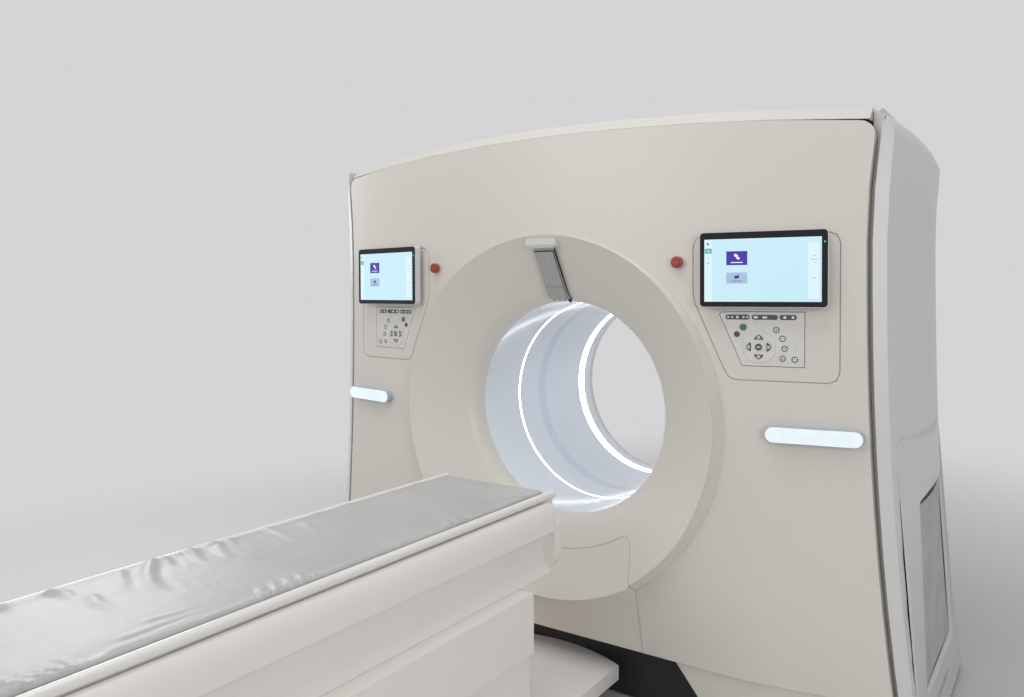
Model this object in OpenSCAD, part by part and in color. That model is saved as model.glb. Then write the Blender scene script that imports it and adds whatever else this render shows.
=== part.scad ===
/* [Gantry size] */
// Height of the bore axis above the floor
iso_h = 1020; // [1016:2:1040]
// Radius of the patient bore
bore_r = 400; // [390:1:405]
// Front plane to scan plane
front_d = 620; // [610:1:640]
// Plan radius of the bowed front and rear faces
bow_r = 5120; // [5000:20:5600]
// Half width of the face at its waist
waist_hw = 1068; // [1062:1:1080]
// Rise of the face's top edge above the bore axis
face_top = 989; // [984:1:1000]
// Radius of the crown along the top edge
crown_r = 12660; // [11000:20:16000]
// Wall of the moulded covers
cover_t = 8; // [7:0.5:10]
// Depth of the return flange around the face covers
flange_d = 70; // [66:1:80]

/* [Flare] */
// Outer radius of the flare ring
flare_r = 657; // [650:1:665]
// Radius at the inner edge of the ring's rim
rim_r = 640; // [634:1:646]
// Stand-off of the rim ahead of the front plane
rim_proud = 6; // [4:0.5:10]
// Depth of the flare from the front plane to the bore lip
flare_d = 190; // [180:1:200]
// Radius of the rounded lip where the flare meets the bore
lip_r = 90; // [80:1:100]

/* [Face details] */
// Depth of the scoop in the lower front face
scoop_d = 50; // [40:1:56]
// Height of the kick opening above the floor
kick_h = 220; // [210:2:230]
// Distance of each emergency stop from the centre line
estop_x = 513; // [500:1:520]
// Radius of the emergency stop's mushroom
estop_r = 19; // [17:0.5:22]
// Travel of the emergency stop
estop_travel = 4; // [3:0.5:5]
// Width of a status light bar
bar_w = 276; // [260:2:282]
// Height of a status light bar
bar_h = 50; // [44:1:54]
// Stand-off of a status light bar
bar_proud = 30; // [24:1:34]

/* [Control panels] */
// Width of the touchscreen
screen_w = 384; // [360:1:390]
// Height of the touchscreen
screen_h = 237; // [220:1:240]
// Thickness of the touchscreen's housing
screen_t = 26; // [22:1:30]
// Stand-off of the touchscreen's glass from the face
screen_proud = 40; // [36:1:46]
// Radius of the round keys
key_r = 9.5; // [8:0.5:10]
// Radius of the arrow pad's raised disc
pad_r = 50; // [48:0.5:54]
// Travel of a key
key_travel = 1; // [0.6:0.1:1.4]

/* [Gantry insides] */
// Outer radius of the rotor
rotor_r = 850; // [830:1:856]
// Radius of the focal spot's orbit
focus_r = 610; // [600:1:620]
// Gap between the bore and the detector's face
detector_gap = 60; // [50:1:75]
// Radius of a cooling fan
fan_r = 110; // [90:1:120]

/* [Table] */
// Length of the table top
table_len = 2600; // [2500:10:2700]
// Gap between the gantry's front plane and the table head
table_gap = 280; // [270:1:300]
// Drop of the cradle's rim below the bore axis
rim_drop = 193; // [185:1:200]
// Half width over the cradle's rim tubes
cradle_hw = 230; // [224:1:234]
// Radius of the rim tube along the cradle
rim_tube_r = 12; // [10:0.5:13]
// Half width of the table's side flange
table_hw = 250; // [246:1:254]
// Lowest position of the table below its rest height
lift_down = 260; // [200:5:260]
// Highest position of the table above its rest height
lift_up = 50; // [30:1:50]
// Travel of the carriage on the table, and of the cradle on the carriage
slide_travel = 850; // [800:10:860]
// Thickness of the foam pad at its middle
pad_t = 62; // [50:1:66]
// Height of the base cover's top above the floor
base_cover_h = 140; // [130:1:144]
// Half width of the base cover's nose
nose_hw = 267; // [260:1:275]

/* [Hidden] */

white = [0.90, 0.89, 0.86];
cool_white = [0.84, 0.85, 0.86];
steel = [0.55, 0.57, 0.60];
black = [0.06, 0.06, 0.07];
key_grey = [0.28, 0.29, 0.30];

// Running gap between rigid neighbours that are assembled face to face
seat = 0.3;
// Visible seam around inset panels
seam = 2.5;
// Focal spot to detector face
detector_d = focus_r + bore_r + detector_gap;
// Depth of the gantry from the front to the rear plane
gantry_d = 2 * front_d + 10;
// Height of the floor below the bore axis
floor_z = -iso_h;
// Gap between the covers' lower edges and the floor
floor_gap = 20;
cover_z0 = floor_z + floor_gap;

// Plan sag of the bowed face at a distance x from the centre line
function bow_y(x) = bow_r - sqrt(bow_r * bow_r - x * x);
// Height of the crowned top edge at x
function crown_z(x) = face_top - x * x / (2 * crown_r);

// The face's side edge: narrowest at the waist and wider towards roof and floor
waist_z = 560;
top_span = 385;
top_flare = 27;
foot_span = 1310;
foot_flare = 72;
function edge_x(z) = z > waist_z
    ? waist_hw + top_flare * pow((z - waist_z) / top_span, 2)
    : waist_hw + foot_flare * pow((waist_z - z) / foot_span, 2.2);

corner_r = 42;
corner_z = crown_z(edge_x(face_top - 50)) - corner_r;
edge_steps = 12;
// Heights at which the side edges are sampled, from the floor gap to the top corner
edge_zs = [for (i = [0:edge_steps]) cover_z0 + (corner_z - cover_z0) * i / edge_steps];

// Right half of the face outline, inset by d, from the foot up and over the corner to the centre
function face_half(d) = concat(
    [for (i = [0:edge_steps]) [edge_x(edge_zs[i]) - d, i == 0 ? cover_z0 + d : edge_zs[i]]],
    [for (a = [22.5, 45, 67.5, 90]) [edge_x(corner_z) - corner_r + (corner_r - d) * cos(a),
                                     corner_z + (corner_r - d) * sin(a)]],
    [for (k = [0.75, 0.5, 0.25]) [edge_x(corner_z) * k, crown_z(edge_x(corner_z) * k) - d]],
    [[0, face_top - d]]);

kick_hw_top = 482;
kick_hw_foot = 660;
kick_z = floor_z + kick_h;

function reversed(list) = [for (i = [len(list) - 1:-1:0]) list[i]];

// Extrusions along Y and X of outlines drawn in XZ and YZ
module y_run(y0, y1) {
    translate([0, y1, 0]) rotate([90, 0, 0]) linear_extrude(y1 - y0) children();
}
module x_run(x0, x1) {
    translate([x0, 0, 0]) rotate([90, 0, 90]) linear_extrude(x1 - x0) children();
}
module in_gantry() {
    translate([0, -front_d, iso_h]) children();
}
module mirrored(side) {
    if (side > 0) children();
    else mirror([1, 0, 0]) children();
}
// A turned solid about the bore axis: outlines are drawn as radius and depth
module bore_turned() {
    rotate([-90, 0, 0]) rotate_extrude($fn = 180) children();
}
module y_tube(r_out, r_in, y0, y1) {
    y_run(y0, y1) difference() {
        circle(r_out, $fn = 180);
        circle(r_in, $fn = 180);
    }
}
module rounded_rect(w, h, r) {
    for (sx = [-1, 1], sy = [-1, 1])
        translate([sx * (w / 2 - r), sy * (h / 2 - r)]) circle(r, $fn = 32);
    square([w - 2 * r, h], center = true);
    square([w, h - 2 * r], center = true);
}

// A closed solid through rings of points; each ring turns anticlockwise as seen from its far end.
// Its caps are strips between opposite points, so a ring's outline may have a step
module loft(rings) {
    n = len(rings[0]);
    last = (len(rings) - 1) * n;
    cap = [for (i = [0:ceil(n / 2) - 2])
        i + 1 == n - 2 - i ? [i, i + 1, n - 1 - i] : [i, i + 1, n - 2 - i, n - 1 - i]];
    sides = [for (j = [0:len(rings) - 2], i = [0:n - 1])
        let (a = j * n + i, b = j * n + (i + 1) % n)
        each [[a, a + n, b + n], [a, b + n, b]]];
    polyhedron([for (ring = rings, p = ring) p],
               concat(cap, sides, [for (face = cap) [for (i = reversed(face)) last + i]]));
}

module face_outline(d) {
    difference() {
        polygon(concat(face_half(d),
                       [for (p = reversed(face_half(d))) if (p[0] > 0) [-p[0], p[1]]]));
        translate([-2 * waist_hw, floor_z]) square([4 * waist_hw, kick_z + d - floor_z]);
    }
}
// Foot panels under the face, beside the kick recess; set back behind the face's lower edge
foot_back = 12;
foot_flange = 38;
module foot_outline(d) {
    difference() {
        polygon(concat(face_half(d),
                       [for (p = reversed(face_half(d))) if (p[0] > 0) [-p[0], p[1]]]));
        translate([-2 * waist_hw, kick_z - seat - d]) square([4 * waist_hw, 2 * face_top]);
        polygon([[-kick_hw_top - d, kick_z + d], [kick_hw_top + d, kick_z + d],
                 [kick_hw_foot + d, floor_z], [-kick_hw_foot - d, floor_z]]);
    }
}
module foot_panels() {
    difference() {
        intersection() {
            y_run(scoop_d + foot_back, 320) foot_outline(0.8);
            difference() {
                bow_behind(foot_back);
                bow_behind(foot_back + foot_flange, 2500);
            }
        }
        intersection() {
            y_run(scoop_d + foot_back + cover_t, 330) foot_outline(cover_t);
            bow_behind(foot_back + cover_t, 2500);
        }
    }
}

// Everything deeper than d behind the bowed face
module bow_behind(d, h = 2400) {
    translate([0, bow_r, -h / 2]) cylinder(r = bow_r - d, h = h, $fn = 720);
}

// Hollow face with its return flange and the hole for the flare ring
module face_shell(scooped) {
    difference() {
        intersection() {
            y_run(-40, 320) face_outline(0);
            difference() {
                bow_behind(0);
                bow_behind(flange_d, 2500);
            }
        }
        if (scooped) scoop_cut(0);
        difference() {
            intersection() {
                y_run(-50, 330) face_outline(cover_t);
                bow_behind(cover_t, 2500);
            }
            if (scooped) scoop_cut(cover_t);
        }
        ring_bound(-seat);
    }
}

// The flare, a ring of its own in the cover: a cone from the rim and a rounded lip into the bore
lip_a = 31;
lip_c = [bore_r + lip_r, flare_d];
function lip_point(a, r) = [lip_c[0] - r * cos(a), lip_c[1] - r * sin(a)];
lip_steps = 8;
lip_end = 90 - lip_a;
flare_slope = (lip_point(lip_end, lip_r)[1] + rim_proud) / (rim_r - lip_point(lip_end, lip_r)[0]);
// Depth of the cone, carried on beyond the rim
function cone_y(r) = -rim_proud - (r - rim_r) * flare_slope;
ring_far = 720;
function flare_curve(d, outer = rim_r) = concat(
    [[outer, cone_y(outer) + d]],
    [for (i = [0:lip_steps]) lip_point(lip_end * (1 - i / lip_steps), lip_r - d)]);

// The ring's outline tapers from the rim back to the bowed face, and is drawn out downwards
ring_side_y = bow_y(flare_r);
ring_draft = (flare_r - rim_r) / (ring_side_y + rim_proud);
ring_drop = 40;
ring_drop_draft = 0.63;
module ring_cone(y0, y1, r, draft) {
    translate([0, y1, 0]) rotate([90, 0, 0])
        cylinder(r1 = r + draft * (y1 - ring_side_y), r2 = r + draft * (y0 - ring_side_y),
                 h = y1 - y0, $fn = 180);
}
module ring_bound(d) {
    ring_cone(-70, flare_d + 10, flare_r - d, ring_draft);
    translate([0, 0, -ring_drop]) ring_cone(-70, flare_d + 10, flare_r - d, ring_drop_draft);
}
module flare_ring(back = 72) {
    intersection() {
        bore_turned() polygon(concat(flare_curve(0, ring_far),
                                     reversed(flare_curve(cover_t * 1.15, ring_far))));
        ring_bound(0);
    }
    intersection() {
        bore_turned() polygon([[rim_r - 60, back], [ring_far, back], [ring_far, cone_y(ring_far) + 1],
                               [rim_r - 60, cone_y(rim_r - 60) + 1]]);
        difference() {
            ring_bound(0);
            ring_bound(cover_t);
        }
    }
}
// The flare's surface offset towards the room by a and b, as a thin turned band
module flare_band(a, b) {
    bore_turned() polygon(concat(flare_curve(a), reversed(flare_curve(b))));
}

// Lower scoop: an inclined flat cut that ends in a ledge
scoop_top = -250;
module scoop_cut(d) {
    x_run(-900, 900) polygon([[-60, scoop_top], [d, scoop_top], [scoop_d + d, kick_z],
                              [scoop_d + d, kick_z - 40], [-60, kick_z - 40]]);
}

// Access panel under the bore, drawn from the middle outwards
panel_arc_r = 507;
panel_foot = kick_z;
panel_top = -416;
// Height at a share of the way from the panel's shoulder to its foot
function panel_z(share) = panel_top + share * (panel_foot - panel_top);
function panel_half(d) = concat(
    [for (x = [0, 75, 150, 215, 262]) [x, -sqrt(pow(panel_arc_r - d, 2) - x * x)]],
    [[292 + d * 0.7, panel_top + d * 0.7], [316 + d, panel_z(0.036)], [330 + d, panel_z(0.130)],
     [341 + d, panel_z(0.271)], [356 + d, panel_z(0.479)], [366 + d, panel_z(0.740)],
     [372 + d, panel_foot - d]]);
module panel_outline(d) {
    polygon(concat(panel_half(d),
                   [for (p = reversed(panel_half(d))) if (p[0] > 0) [-p[0], p[1]]]));
}

// Operator panels on the right of the bore; the left ones are mirrored
bezel_x0 = 562;
bezel_x1 = 997;
bezel_z0 = 158;
bezel_z1 = 613;
slant_z = 412;
slant_x = 665;
module bezel_outline(d) {
    polygon([[bezel_x0 - d, bezel_z1 - 30], [bezel_x0 + 9, bezel_z1 - 9 + d * 0.6],
             [bezel_x0 + 30, bezel_z1 + d],
             [bezel_x1 - 30, bezel_z1 + d], [bezel_x1 - 9 + d * 0.7, bezel_z1 - 9 + d * 0.7],
             [bezel_x1 + d, bezel_z1 - 30], [bezel_x1 + d, bezel_z0 + 30],
             [bezel_x1 - 9 + d * 0.7, bezel_z0 + 9 - d * 0.7], [bezel_x1 - 30, bezel_z0 - d],
             [slant_x + 28, bezel_z0 - d], [slant_x + 10 - d * 0.6, bezel_z0 + 8 - d * 0.6],
             [slant_x - 2 - d, bezel_z0 + 26], [bezel_x0 + 6 - d, slant_z - 14],
             [bezel_x0 - d, slant_z + 14]]);
}
keypad_top = 371;
keypad_foot = 203;
keypad_x1 = 899;
module keypad_outline(d) {
    polygon([[646 - d, keypad_top - 8], [651 - d, keypad_top - 2 + d], [695, keypad_top + d],
             [keypad_x1 + d, keypad_top + d], [keypad_x1 + d, keypad_foot - d],
             [717 - d * 0.6, keypad_foot - d]]);
}
screen_x = 781;
screen_z = 504;
screen_turn = asin(screen_x / bow_r);

pad_c = [766.5, 262];
arrow_d = 30;
start_c = [718.5, 323];
start_r = 10;
small_keys = [[700, 301], [818.4, 316], [836.8, 289.5], [843, 259], [836.8, 228], [872, 226]];
strips = [[702, 74], [784, 77], [853, 50]];
strip_z = 355;
key_gap = 0.4;
well_d = 7;
keypad_t = 11.7;

module key_shape(kind, d) {
    if (kind == "start") translate(start_c) circle(start_r + d, $fn = 48);
    else {
        turn = kind == "up" ? 0 : kind == "out" ? 90 : kind == "down" ? 180 : 270;
        translate(pad_c) rotate(turn) translate([0, arrow_d])
            polygon([[-13 - d, -6 - d], [13 + d, -6 - d], [13 + d, -3], [6 + d, 4 + d],
                     [2, 7 + d], [-2, 7 + d], [-6 - d, 4 + d], [-13 - d, -3]]);
    }
}
KEY_KINDS = ["up", "down", "in", "out", "start"];

module at_estop(side) {
    translate([side * estop_x, bow_y(estop_x), 531]) children();
}

module front_cover() color(white) in_gantry() {
    difference() {
        union() {
            face_shell(true);
            flare_ring();
            foot_panels();
            for (side = [-1, 1])
                at_estop(side) y_run(-3, 4) circle(estop_r + 6, $fn = 48);
        }
        y_run(-60, 200) panel_outline(0.8);
        for (side = [-1, 1]) {
            mirrored(side) {
                y_run(-20, 200) bezel_outline(-10);
                difference() {
                    y_run(-20, 150) bezel_outline(seam);
                    bow_behind(5);
                }
            }
            at_estop(side) y_run(-20, 30) circle(7.5, $fn = 48);
        }
    }
}

// Below the rim the access panel falls back in a hollow curve to the face's lower edge
panel_rim = rim_r + 22;
panel_run = 222;
panel_bend = 4;
panel_flange = 34;
function panel_low(d) = [for (i = [1:10]) let (t = i / 10)
    [panel_rim + panel_run * t,
     cone_y(panel_rim) + d + (scoop_d - cone_y(panel_rim)) * (1 - pow(1 - t, panel_bend))]];
module panel_skin(d) {
    bore_turned() polygon(concat(reversed(panel_low(0)), flare_curve(0, panel_rim),
                                 reversed(flare_curve(d, panel_rim)), panel_low(d)));
}
module front_access_panel() color(white) in_gantry() {
    intersection() {
        y_run(-60, 200) panel_outline(0);
        panel_skin(cover_t * 1.15);
    }
    intersection() {
        y_run(-60, 200) difference() {
            panel_outline(0);
            panel_outline(-cover_t);
            circle(panel_rim, $fn = 180);
        }
        panel_skin(panel_flange);
    }
}

vent_rows = 7;
module rear_cover() color(white) in_gantry() translate([0, gantry_d, 0]) mirror([0, 1, 0]) difference() {
    union() {
        face_shell(false);
        flare_ring();
        foot_panels();
    }
    for (side = [-1, 1], row = [0:vent_rows - 1])
        translate([side * 840, 0, 560 + row * 32]) y_run(-20, 160) square([220, 14], center = true);
}

// Roof: a bevel rises behind the face's top edge, follows the bow and the crown
roof_rise = 42;
roof_run = 45;
roof_hw = 1075;
roof_steps = 8;
function roof_ring(x, d) =
    let (z = crown_z(x),
         y0 = bow_y(x) + 3,
         foot = z + 1 - (d > 0 ? 20 : 0),
         front = [[y0 + d, foot], [y0 + d, z + 3], [y0 + roof_run + d * 0.6, z + roof_rise - d]])
    [for (p = concat([for (q = front) [gantry_d - q[0], q[1]]], reversed(front))) [x, p[0], p[1]]];
module roof_block(d) {
    loft([for (i = [0:roof_steps]) roof_ring((roof_hw - d) * (2 * i / roof_steps - 1), d)]);
}
module top_cover() color(white) in_gantry() difference() {
    roof_block(0);
    roof_block(cover_t);
}

// Side covers: rings in plan, stacked from the floor gap to the shoulder. Each ring runs from the
// groove beside the front face over the bright strip and the crease to the bulging side, and back
groove_w = 16;
groove_d = 36;
groove_draft = 2;
rail_t = 8;
strip_w = 36;
strip_back = 22;
shoulder_a = 60;
shoulder_b = 110;
shoulder_z = crown_z(roof_hw) + roof_rise - 12;
function shoulder_inset(z) = z < shoulder_z - shoulder_b ? 0
    : shoulder_a * (1 - sqrt(max(0, 1 - pow((z - shoulder_z + shoulder_b) / shoulder_b, 2))));
// How far a side cover bulges beyond the roof, and the range of x that holds its service panel
side_w = 93;
side_inner = max(roof_hw, waist_hw + 7);
side_x0 = roof_hw - 15;
side_x1 = side_inner + 225;
function side_max(z) = side_inner + side_w + 28 * (waist_z - z) / foot_span;
side_zs = concat(edge_zs,
    [for (a = [22.5, 45, 67.5]) corner_z + corner_r * sin(a)],
    [shoulder_z - 24, shoulder_z - 12, shoulder_z - 4, shoulder_z]);
function strip_x(z) = edge_x(min(z, corner_z)) + groove_w;
// Inner end of the groove's floor: beside the face's edge, then over its rounded corner
function groove_x(z) = 0.8 + (z <= corner_z ? edge_x(z)
    : max(roof_hw + 1.2, edge_x(corner_z) - corner_r
        + sqrt(max(0, corner_r * corner_r - pow(z - corner_z, 2)))));
function side_bulge(z, d) =
    let (x1 = strip_x(z) + d,
         inset = shoulder_inset(z) + d,
         c = max(x1 + 4, strip_x(z) + strip_w - inset),
         b = max(0.5, side_max(z) - inset - c),
         y2 = bow_y(strip_x(z)) + 2 + d + strip_back)
    [for (i = [0:6]) [c + b * sin(180 * i / 6), y2 + (gantry_d - 2 * y2) * i / 6]];
function side_front(z) =
    let (x1 = strip_x(z), y1 = bow_y(x1) + 2)
    [[groove_x(z), y1 + groove_d], [x1 - groove_draft, y1 + groove_d], [x1, y1]];
function side_hollow_front(z, d) =
    let (x1 = strip_x(z), y1 = bow_y(x1) + 2)
    [[x1 - 200, y1 + groove_d + rail_t], [x1 - groove_draft + d, y1 + groove_d + rail_t],
     [x1 + d, y1 + d]];
function over_to_rear(list) = [for (p = reversed(list)) [p[0], gantry_d - p[1]]];
function at_z(points, z) = [for (p = points) [p[0], p[1], z]];
side_last = len(side_zs) - 1;
module side_solid(d) {
    loft([for (k = [0:side_last]) let (z = side_zs[k])
        at_z(concat(side_front(z), side_bulge(z, d), over_to_rear(side_front(z))), z)]);
}
// The hollow behind a wall of thickness d
module side_hollow(d) {
    loft([for (k = [0:side_last]) let (z = side_zs[k])
        at_z(concat(side_hollow_front(z, d), side_bulge(z, d), over_to_rear(side_hollow_front(z, d))),
             z - (k == 0 ? 40 : 21 * k / side_last))]);
}
service_y0 = 200;
service_z1 = -15;
service_z0 = -960;
module service_outline(d) {
    translate([gantry_d / 2, (service_z0 + service_z1) / 2])
        rounded_rect(gantry_d - 2 * service_y0 + 2 * d, service_z1 - service_z0 + 2 * d, 40);
}
module side_cover(side) color(cool_white) in_gantry() mirrored(side) difference() {
    side_solid(0);
    side_hollow(cover_t);
    difference() {
        x_run(side_x0, side_x1) service_outline(seam);
        side_solid(5);
    }
    x_run(side_x0, side_x1) service_outline(-12);
}
module service_panel(side) color(cool_white) in_gantry() mirrored(side) difference() {
    intersection() {
        side_solid(0);
        x_run(side_x0 + 60, side_x1) service_outline(0);
    }
    side_solid(5 - seat);
}

// Bore tube, window and light rings
liner_t = 5;
ring1_y = 440;
ring2_y = 950;
window_hw = 27;
module bore_liner_front() color(white) in_gantry() difference() {
    y_tube(bore_r + liner_t, bore_r, flare_d + seat, front_d - window_hw - seat);
    y_tube(bore_r + 3, bore_r - 5, ring1_y - 6, ring1_y + 6);
}
module bore_liner_rear() color(white) in_gantry() difference() {
    y_tube(bore_r + liner_t, bore_r, front_d + window_hw + seat, gantry_d - flare_d - seat);
    y_tube(bore_r + 3, bore_r - 5, ring2_y, ring2_y + 50);
}
module scan_window() color([0.75, 0.80, 0.86]) in_gantry() {
    y_tube(bore_r + 2, bore_r, front_d - window_hw, front_d + window_hw);
    y_tube(bore_r + liner_t + 3, bore_r + liner_t + seat, front_d - window_hw - 12, front_d - window_hw + 3);
    y_tube(bore_r + liner_t + 3, bore_r + liner_t + seat, front_d + window_hw - 3, front_d + window_hw + 12);
    y_tube(bore_r + liner_t + 1, bore_r, front_d - window_hw, front_d - window_hw + 3);
    y_tube(bore_r + liner_t + 1, bore_r, front_d + window_hw - 3, front_d + window_hw);
}
module bore_lights() color([0.85, 0.93, 1.0]) in_gantry() {
    y_tube(bore_r + 3 - seat, bore_r, ring1_y - 6 + seat, ring1_y + 6 - seat);
    y_tube(bore_r + 3 - seat, bore_r, ring2_y + seat, ring2_y + 50 - seat);
}

// Light bar: a capsule that follows the bow
bar_x1 = 1069;
module status_light(side) color([0.82, 0.90, 1.0]) in_gantry() mirrored(side) intersection() {
    y_run(-40, 160) translate([bar_x1 - bar_w / 2, -5]) rounded_rect(bar_w, bar_h, bar_h / 2 - 0.5);
    difference() {
        bow_behind(-bar_proud);
        bow_behind(-seat, 2500);
    }
}

module control_panel(side) color(white) in_gantry() mirrored(side) difference() {
    intersection() {
        y_run(-20, 110) bezel_outline(0);
        bow_behind(0);
    }
    difference() {
        bow_behind(5 - seat);
        y_run(-30, 110) bezel_outline(-12);
    }
    difference() {
        y_run(-30, 140) keypad_outline(2);
        bow_behind(keypad_t + seat);
    }
}

module touchscreen(side) color(black) in_gantry() mirrored(side) difference() {
    translate([screen_x, bow_y(screen_x), screen_z]) rotate([0, 0, screen_turn]) {
        y_run(-screen_proud, -screen_proud + screen_t) rounded_rect(screen_w, screen_h, 14);
        y_run(-screen_proud + screen_t - 1, 8) rounded_rect(screen_w - 60, screen_h - 60, 20);
    }
    bow_behind(-seat);
}

module keypad(side) color(white) in_gantry() mirrored(side) difference() {
    union() {
        intersection() {
            y_run(-20, 140) keypad_outline(0);
            bow_behind(0);
        }
        intersection() {
            y_run(-20, 140) translate(pad_c) circle(pad_r, $fn = 90);
            bow_behind(-2);
        }
        intersection() {
            y_run(-20, 140) {
                for (c = small_keys) translate(c) circle(key_r, $fn = 32);
                for (s = strips) translate([s[0], strip_z]) rounded_rect(s[1], 16, 7);
            }
            bow_behind(-1.5);
        }
        intersection() {
            y_run(-20, 140) translate(pad_c) circle(11, $fn = 32);
            bow_behind(-4);
        }
    }
    bow_behind(keypad_t, 2500);
    difference() {
        y_run(-20, 140) for (kind = KEY_KINDS) key_shape(kind, key_gap);
        bow_behind(well_d);
    }
}
module key(kind, side) color(kind == "start" ? [0.2, 0.5, 0.25] : key_grey) in_gantry() mirrored(side)
    intersection() {
        y_run(-20, 140) key_shape(kind, 0);
        difference() {
            bow_behind(kind == "start" ? -2 : -4);
            bow_behind(well_d - key_travel - seat, 2500);
        }
    }

// Display over the bore: a tapered panel that lies on the flare, under a moulded hood
display_proud = 18;
module patient_display() color([0.45, 0.47, 0.48]) in_gantry() {
    intersection() {
        y_run(-60, 220) polygon([[-42, 594], [42, 594], [40, 409], [-40, 409]]);
        flare_band(-display_proud, -seat);
    }
    intersection() {
        y_run(-60, 60) translate([0, 611]) rounded_rect(124, 34, 16);
        bore_turned() polygon([[rim_r - 60, cone_y(rim_r - 60) - 3 * seat], [rim_r - 60, 5],
                               [rim_r - 34, -16], [rim_r - 8, -18], [rim_r - 2, -rim_proud - seat],
                               [rim_r - 1, -rim_proud - seat]]);
    }
}

module estop(side) color([0.72, 0.10, 0.10]) in_gantry() at_estop(side) {
    y_run(-3 - estop_travel - 14, -3 - estop_travel - seat) circle(estop_r, $fn = 64);
    y_run(-3 - estop_travel - 18, -3 - estop_travel - 12) circle(estop_r - 5, $fn = 64);
    y_run(-3 - estop_travel - 2, 20) circle(7, $fn = 48);
}

// Base frame on the floor with an anchor hole at each corner
base_h = 110;
anchor_x = 970;
anchor_y = 380;
anchor_r = 11;
base_y0 = 190;
base_y1 = gantry_d - base_y0;
fan_post_x = 1020;
kick_y = 140;
module gantry_base() color(black) in_gantry() translate([0, 0, floor_z]) difference() {
    union() {
        for (side = [-1, 1])
            translate([side * anchor_x - 70, base_y0, 0]) cube([140, base_y1 - base_y0, base_h]);
        for (y = [base_y0, base_y1 - 100])
            translate([-anchor_x, y, 0]) cube([2 * anchor_x, 100, base_h]);
        translate([-anchor_x, stator_y, 0]) cube([2 * anchor_x, 130, base_h]);
        translate([-kick_hw_foot - 40, kick_y, 10]) cube([2 * kick_hw_foot + 80, 12, kick_h - 4]);
        for (x = [-600, -300, 0, 300, 600])
            translate([x - 15, kick_y + 2, 10]) cube([30, base_y0 - kick_y, base_h - 10]);
        for (side = [-1, 1])
            translate([side * fan_post_x - 20, fan_y - 35, base_h - 1])
                cube([40, 70, fan_z - floor_z - base_h + 40]);
    }
    translate([0, fan_y, fan_z - floor_z]) x_run(-1100, 1100) circle(fan_shaft_r + 0.3, $fn = 48);
    // Room for the stator ring above the cross bar
    translate([0, 0, iso_h]) y_run(stator_y - 5, stator_y + stator_t + 5) circle(stator_r + 5, $fn = 180);
    for (sx = [-1, 1], sy = [-1, 1])
        translate([sx * anchor_x, front_d + sy * anchor_y, 0]) {
            translate([0, 0, -1]) cylinder(r = anchor_r, h = 30, $fn = 48);
            translate([0, 0, 20]) cylinder(r = 30, h = base_h, $fn = 48);
        }
}

// Stator: a ring on two feet, with posts and rails that carry the covers
stator_y = 840;
stator_t = 50;
stator_r = 900;
stator_bore = 592;
foot_x = 520;
foot_hw = 160;
post = 50;
post_x = 990;
post_y = 200;
peg_r = 15;
post_top = crown_z(post_x) - 30;
roof_in = roof_rise - cover_t;
module stator_frame() color(steel) in_gantry() {
    difference() {
        union() {
            y_run(stator_y, stator_y + stator_t) circle(stator_r, $fn = 180);
            for (side = [-1, 1]) {
                translate([side * foot_x - foot_hw, stator_y - 20, floor_z + base_h]) {
                    cube([2 * foot_hw, stator_t + 20, 420]);
                    cube([2 * foot_hw, stator_t + 40, 60]);
                }
            }
        }
        y_run(stator_y - 40, stator_y + 140) circle(stator_bore, $fn = 180);
        for (a = [0:30:330])
            rotate([0, a + 15, 0]) translate([0, 0, 760]) y_run(stator_y - 1, stator_y + stator_t + 1)
                circle(60, $fn = 48);
    }
    for (side = [-1, 1]) {
        for (y = [post_y, gantry_d - post_y - post])
            translate([side * post_x - post / 2, y, floor_z + base_h])
                cube([post, post, post_top - floor_z - base_h]);
        for (z = [post_top - post, -post / 2])
            translate([side * post_x - post / 2, post_y, z]) cube([post, gantry_d - 2 * post_y, post]);
        mirrored(side) translate([stator_r - 50, stator_y, -post / 2])
            cube([post_x - stator_r + 50, stator_t, post]);
    }
    for (y = [post_y, gantry_d - post_y - post])
        translate([-post_x, y, post_top - post]) cube([2 * post_x, post, post]);
    for (x = [-roof_hw / 2, roof_hw / 2], y = [post_y + post / 2, gantry_d - post_y - post / 2])
        translate([x, y, post_top - 1])
            cylinder(r = peg_r, h = crown_z(roof_hw / 2 + peg_r) + roof_in - 2 * seat - post_top + 1,
                     $fn = 48);
}
bearing_in = 530;
module main_bearing() color([0.75, 0.76, 0.78]) in_gantry() {
    difference() {
        y_tube(586, bearing_in, stator_y - 70, stator_y - seat);
        y_tube(bearing_in + 15, bearing_in - 10, stator_y - 50, stator_y - 20);
    }
    y_tube(stator_bore - seat, 560, stator_y - 10, stator_y + stator_t);
}
module brush_block() color([0.3, 0.32, 0.34]) in_gantry() {
    translate([-70, stator_y + stator_t + seat, 604]) cube([140, 34, 110]);
    for (k = [0:4])
        translate([-50 + k * 22, stator_y + stator_t + 30, 618]) cube([12, 16, 80]);
}
module power_cabinet() color([0.35, 0.37, 0.40]) in_gantry()
    translate([-820, stator_y + stator_t + 24, floor_z + base_h + seat]) difference() {
        cube([420, 190, 260]);
        for (k = [0:5])
            translate([60 + k * 52, 180, 60]) cube([18, 20, 140]);
    }

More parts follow.
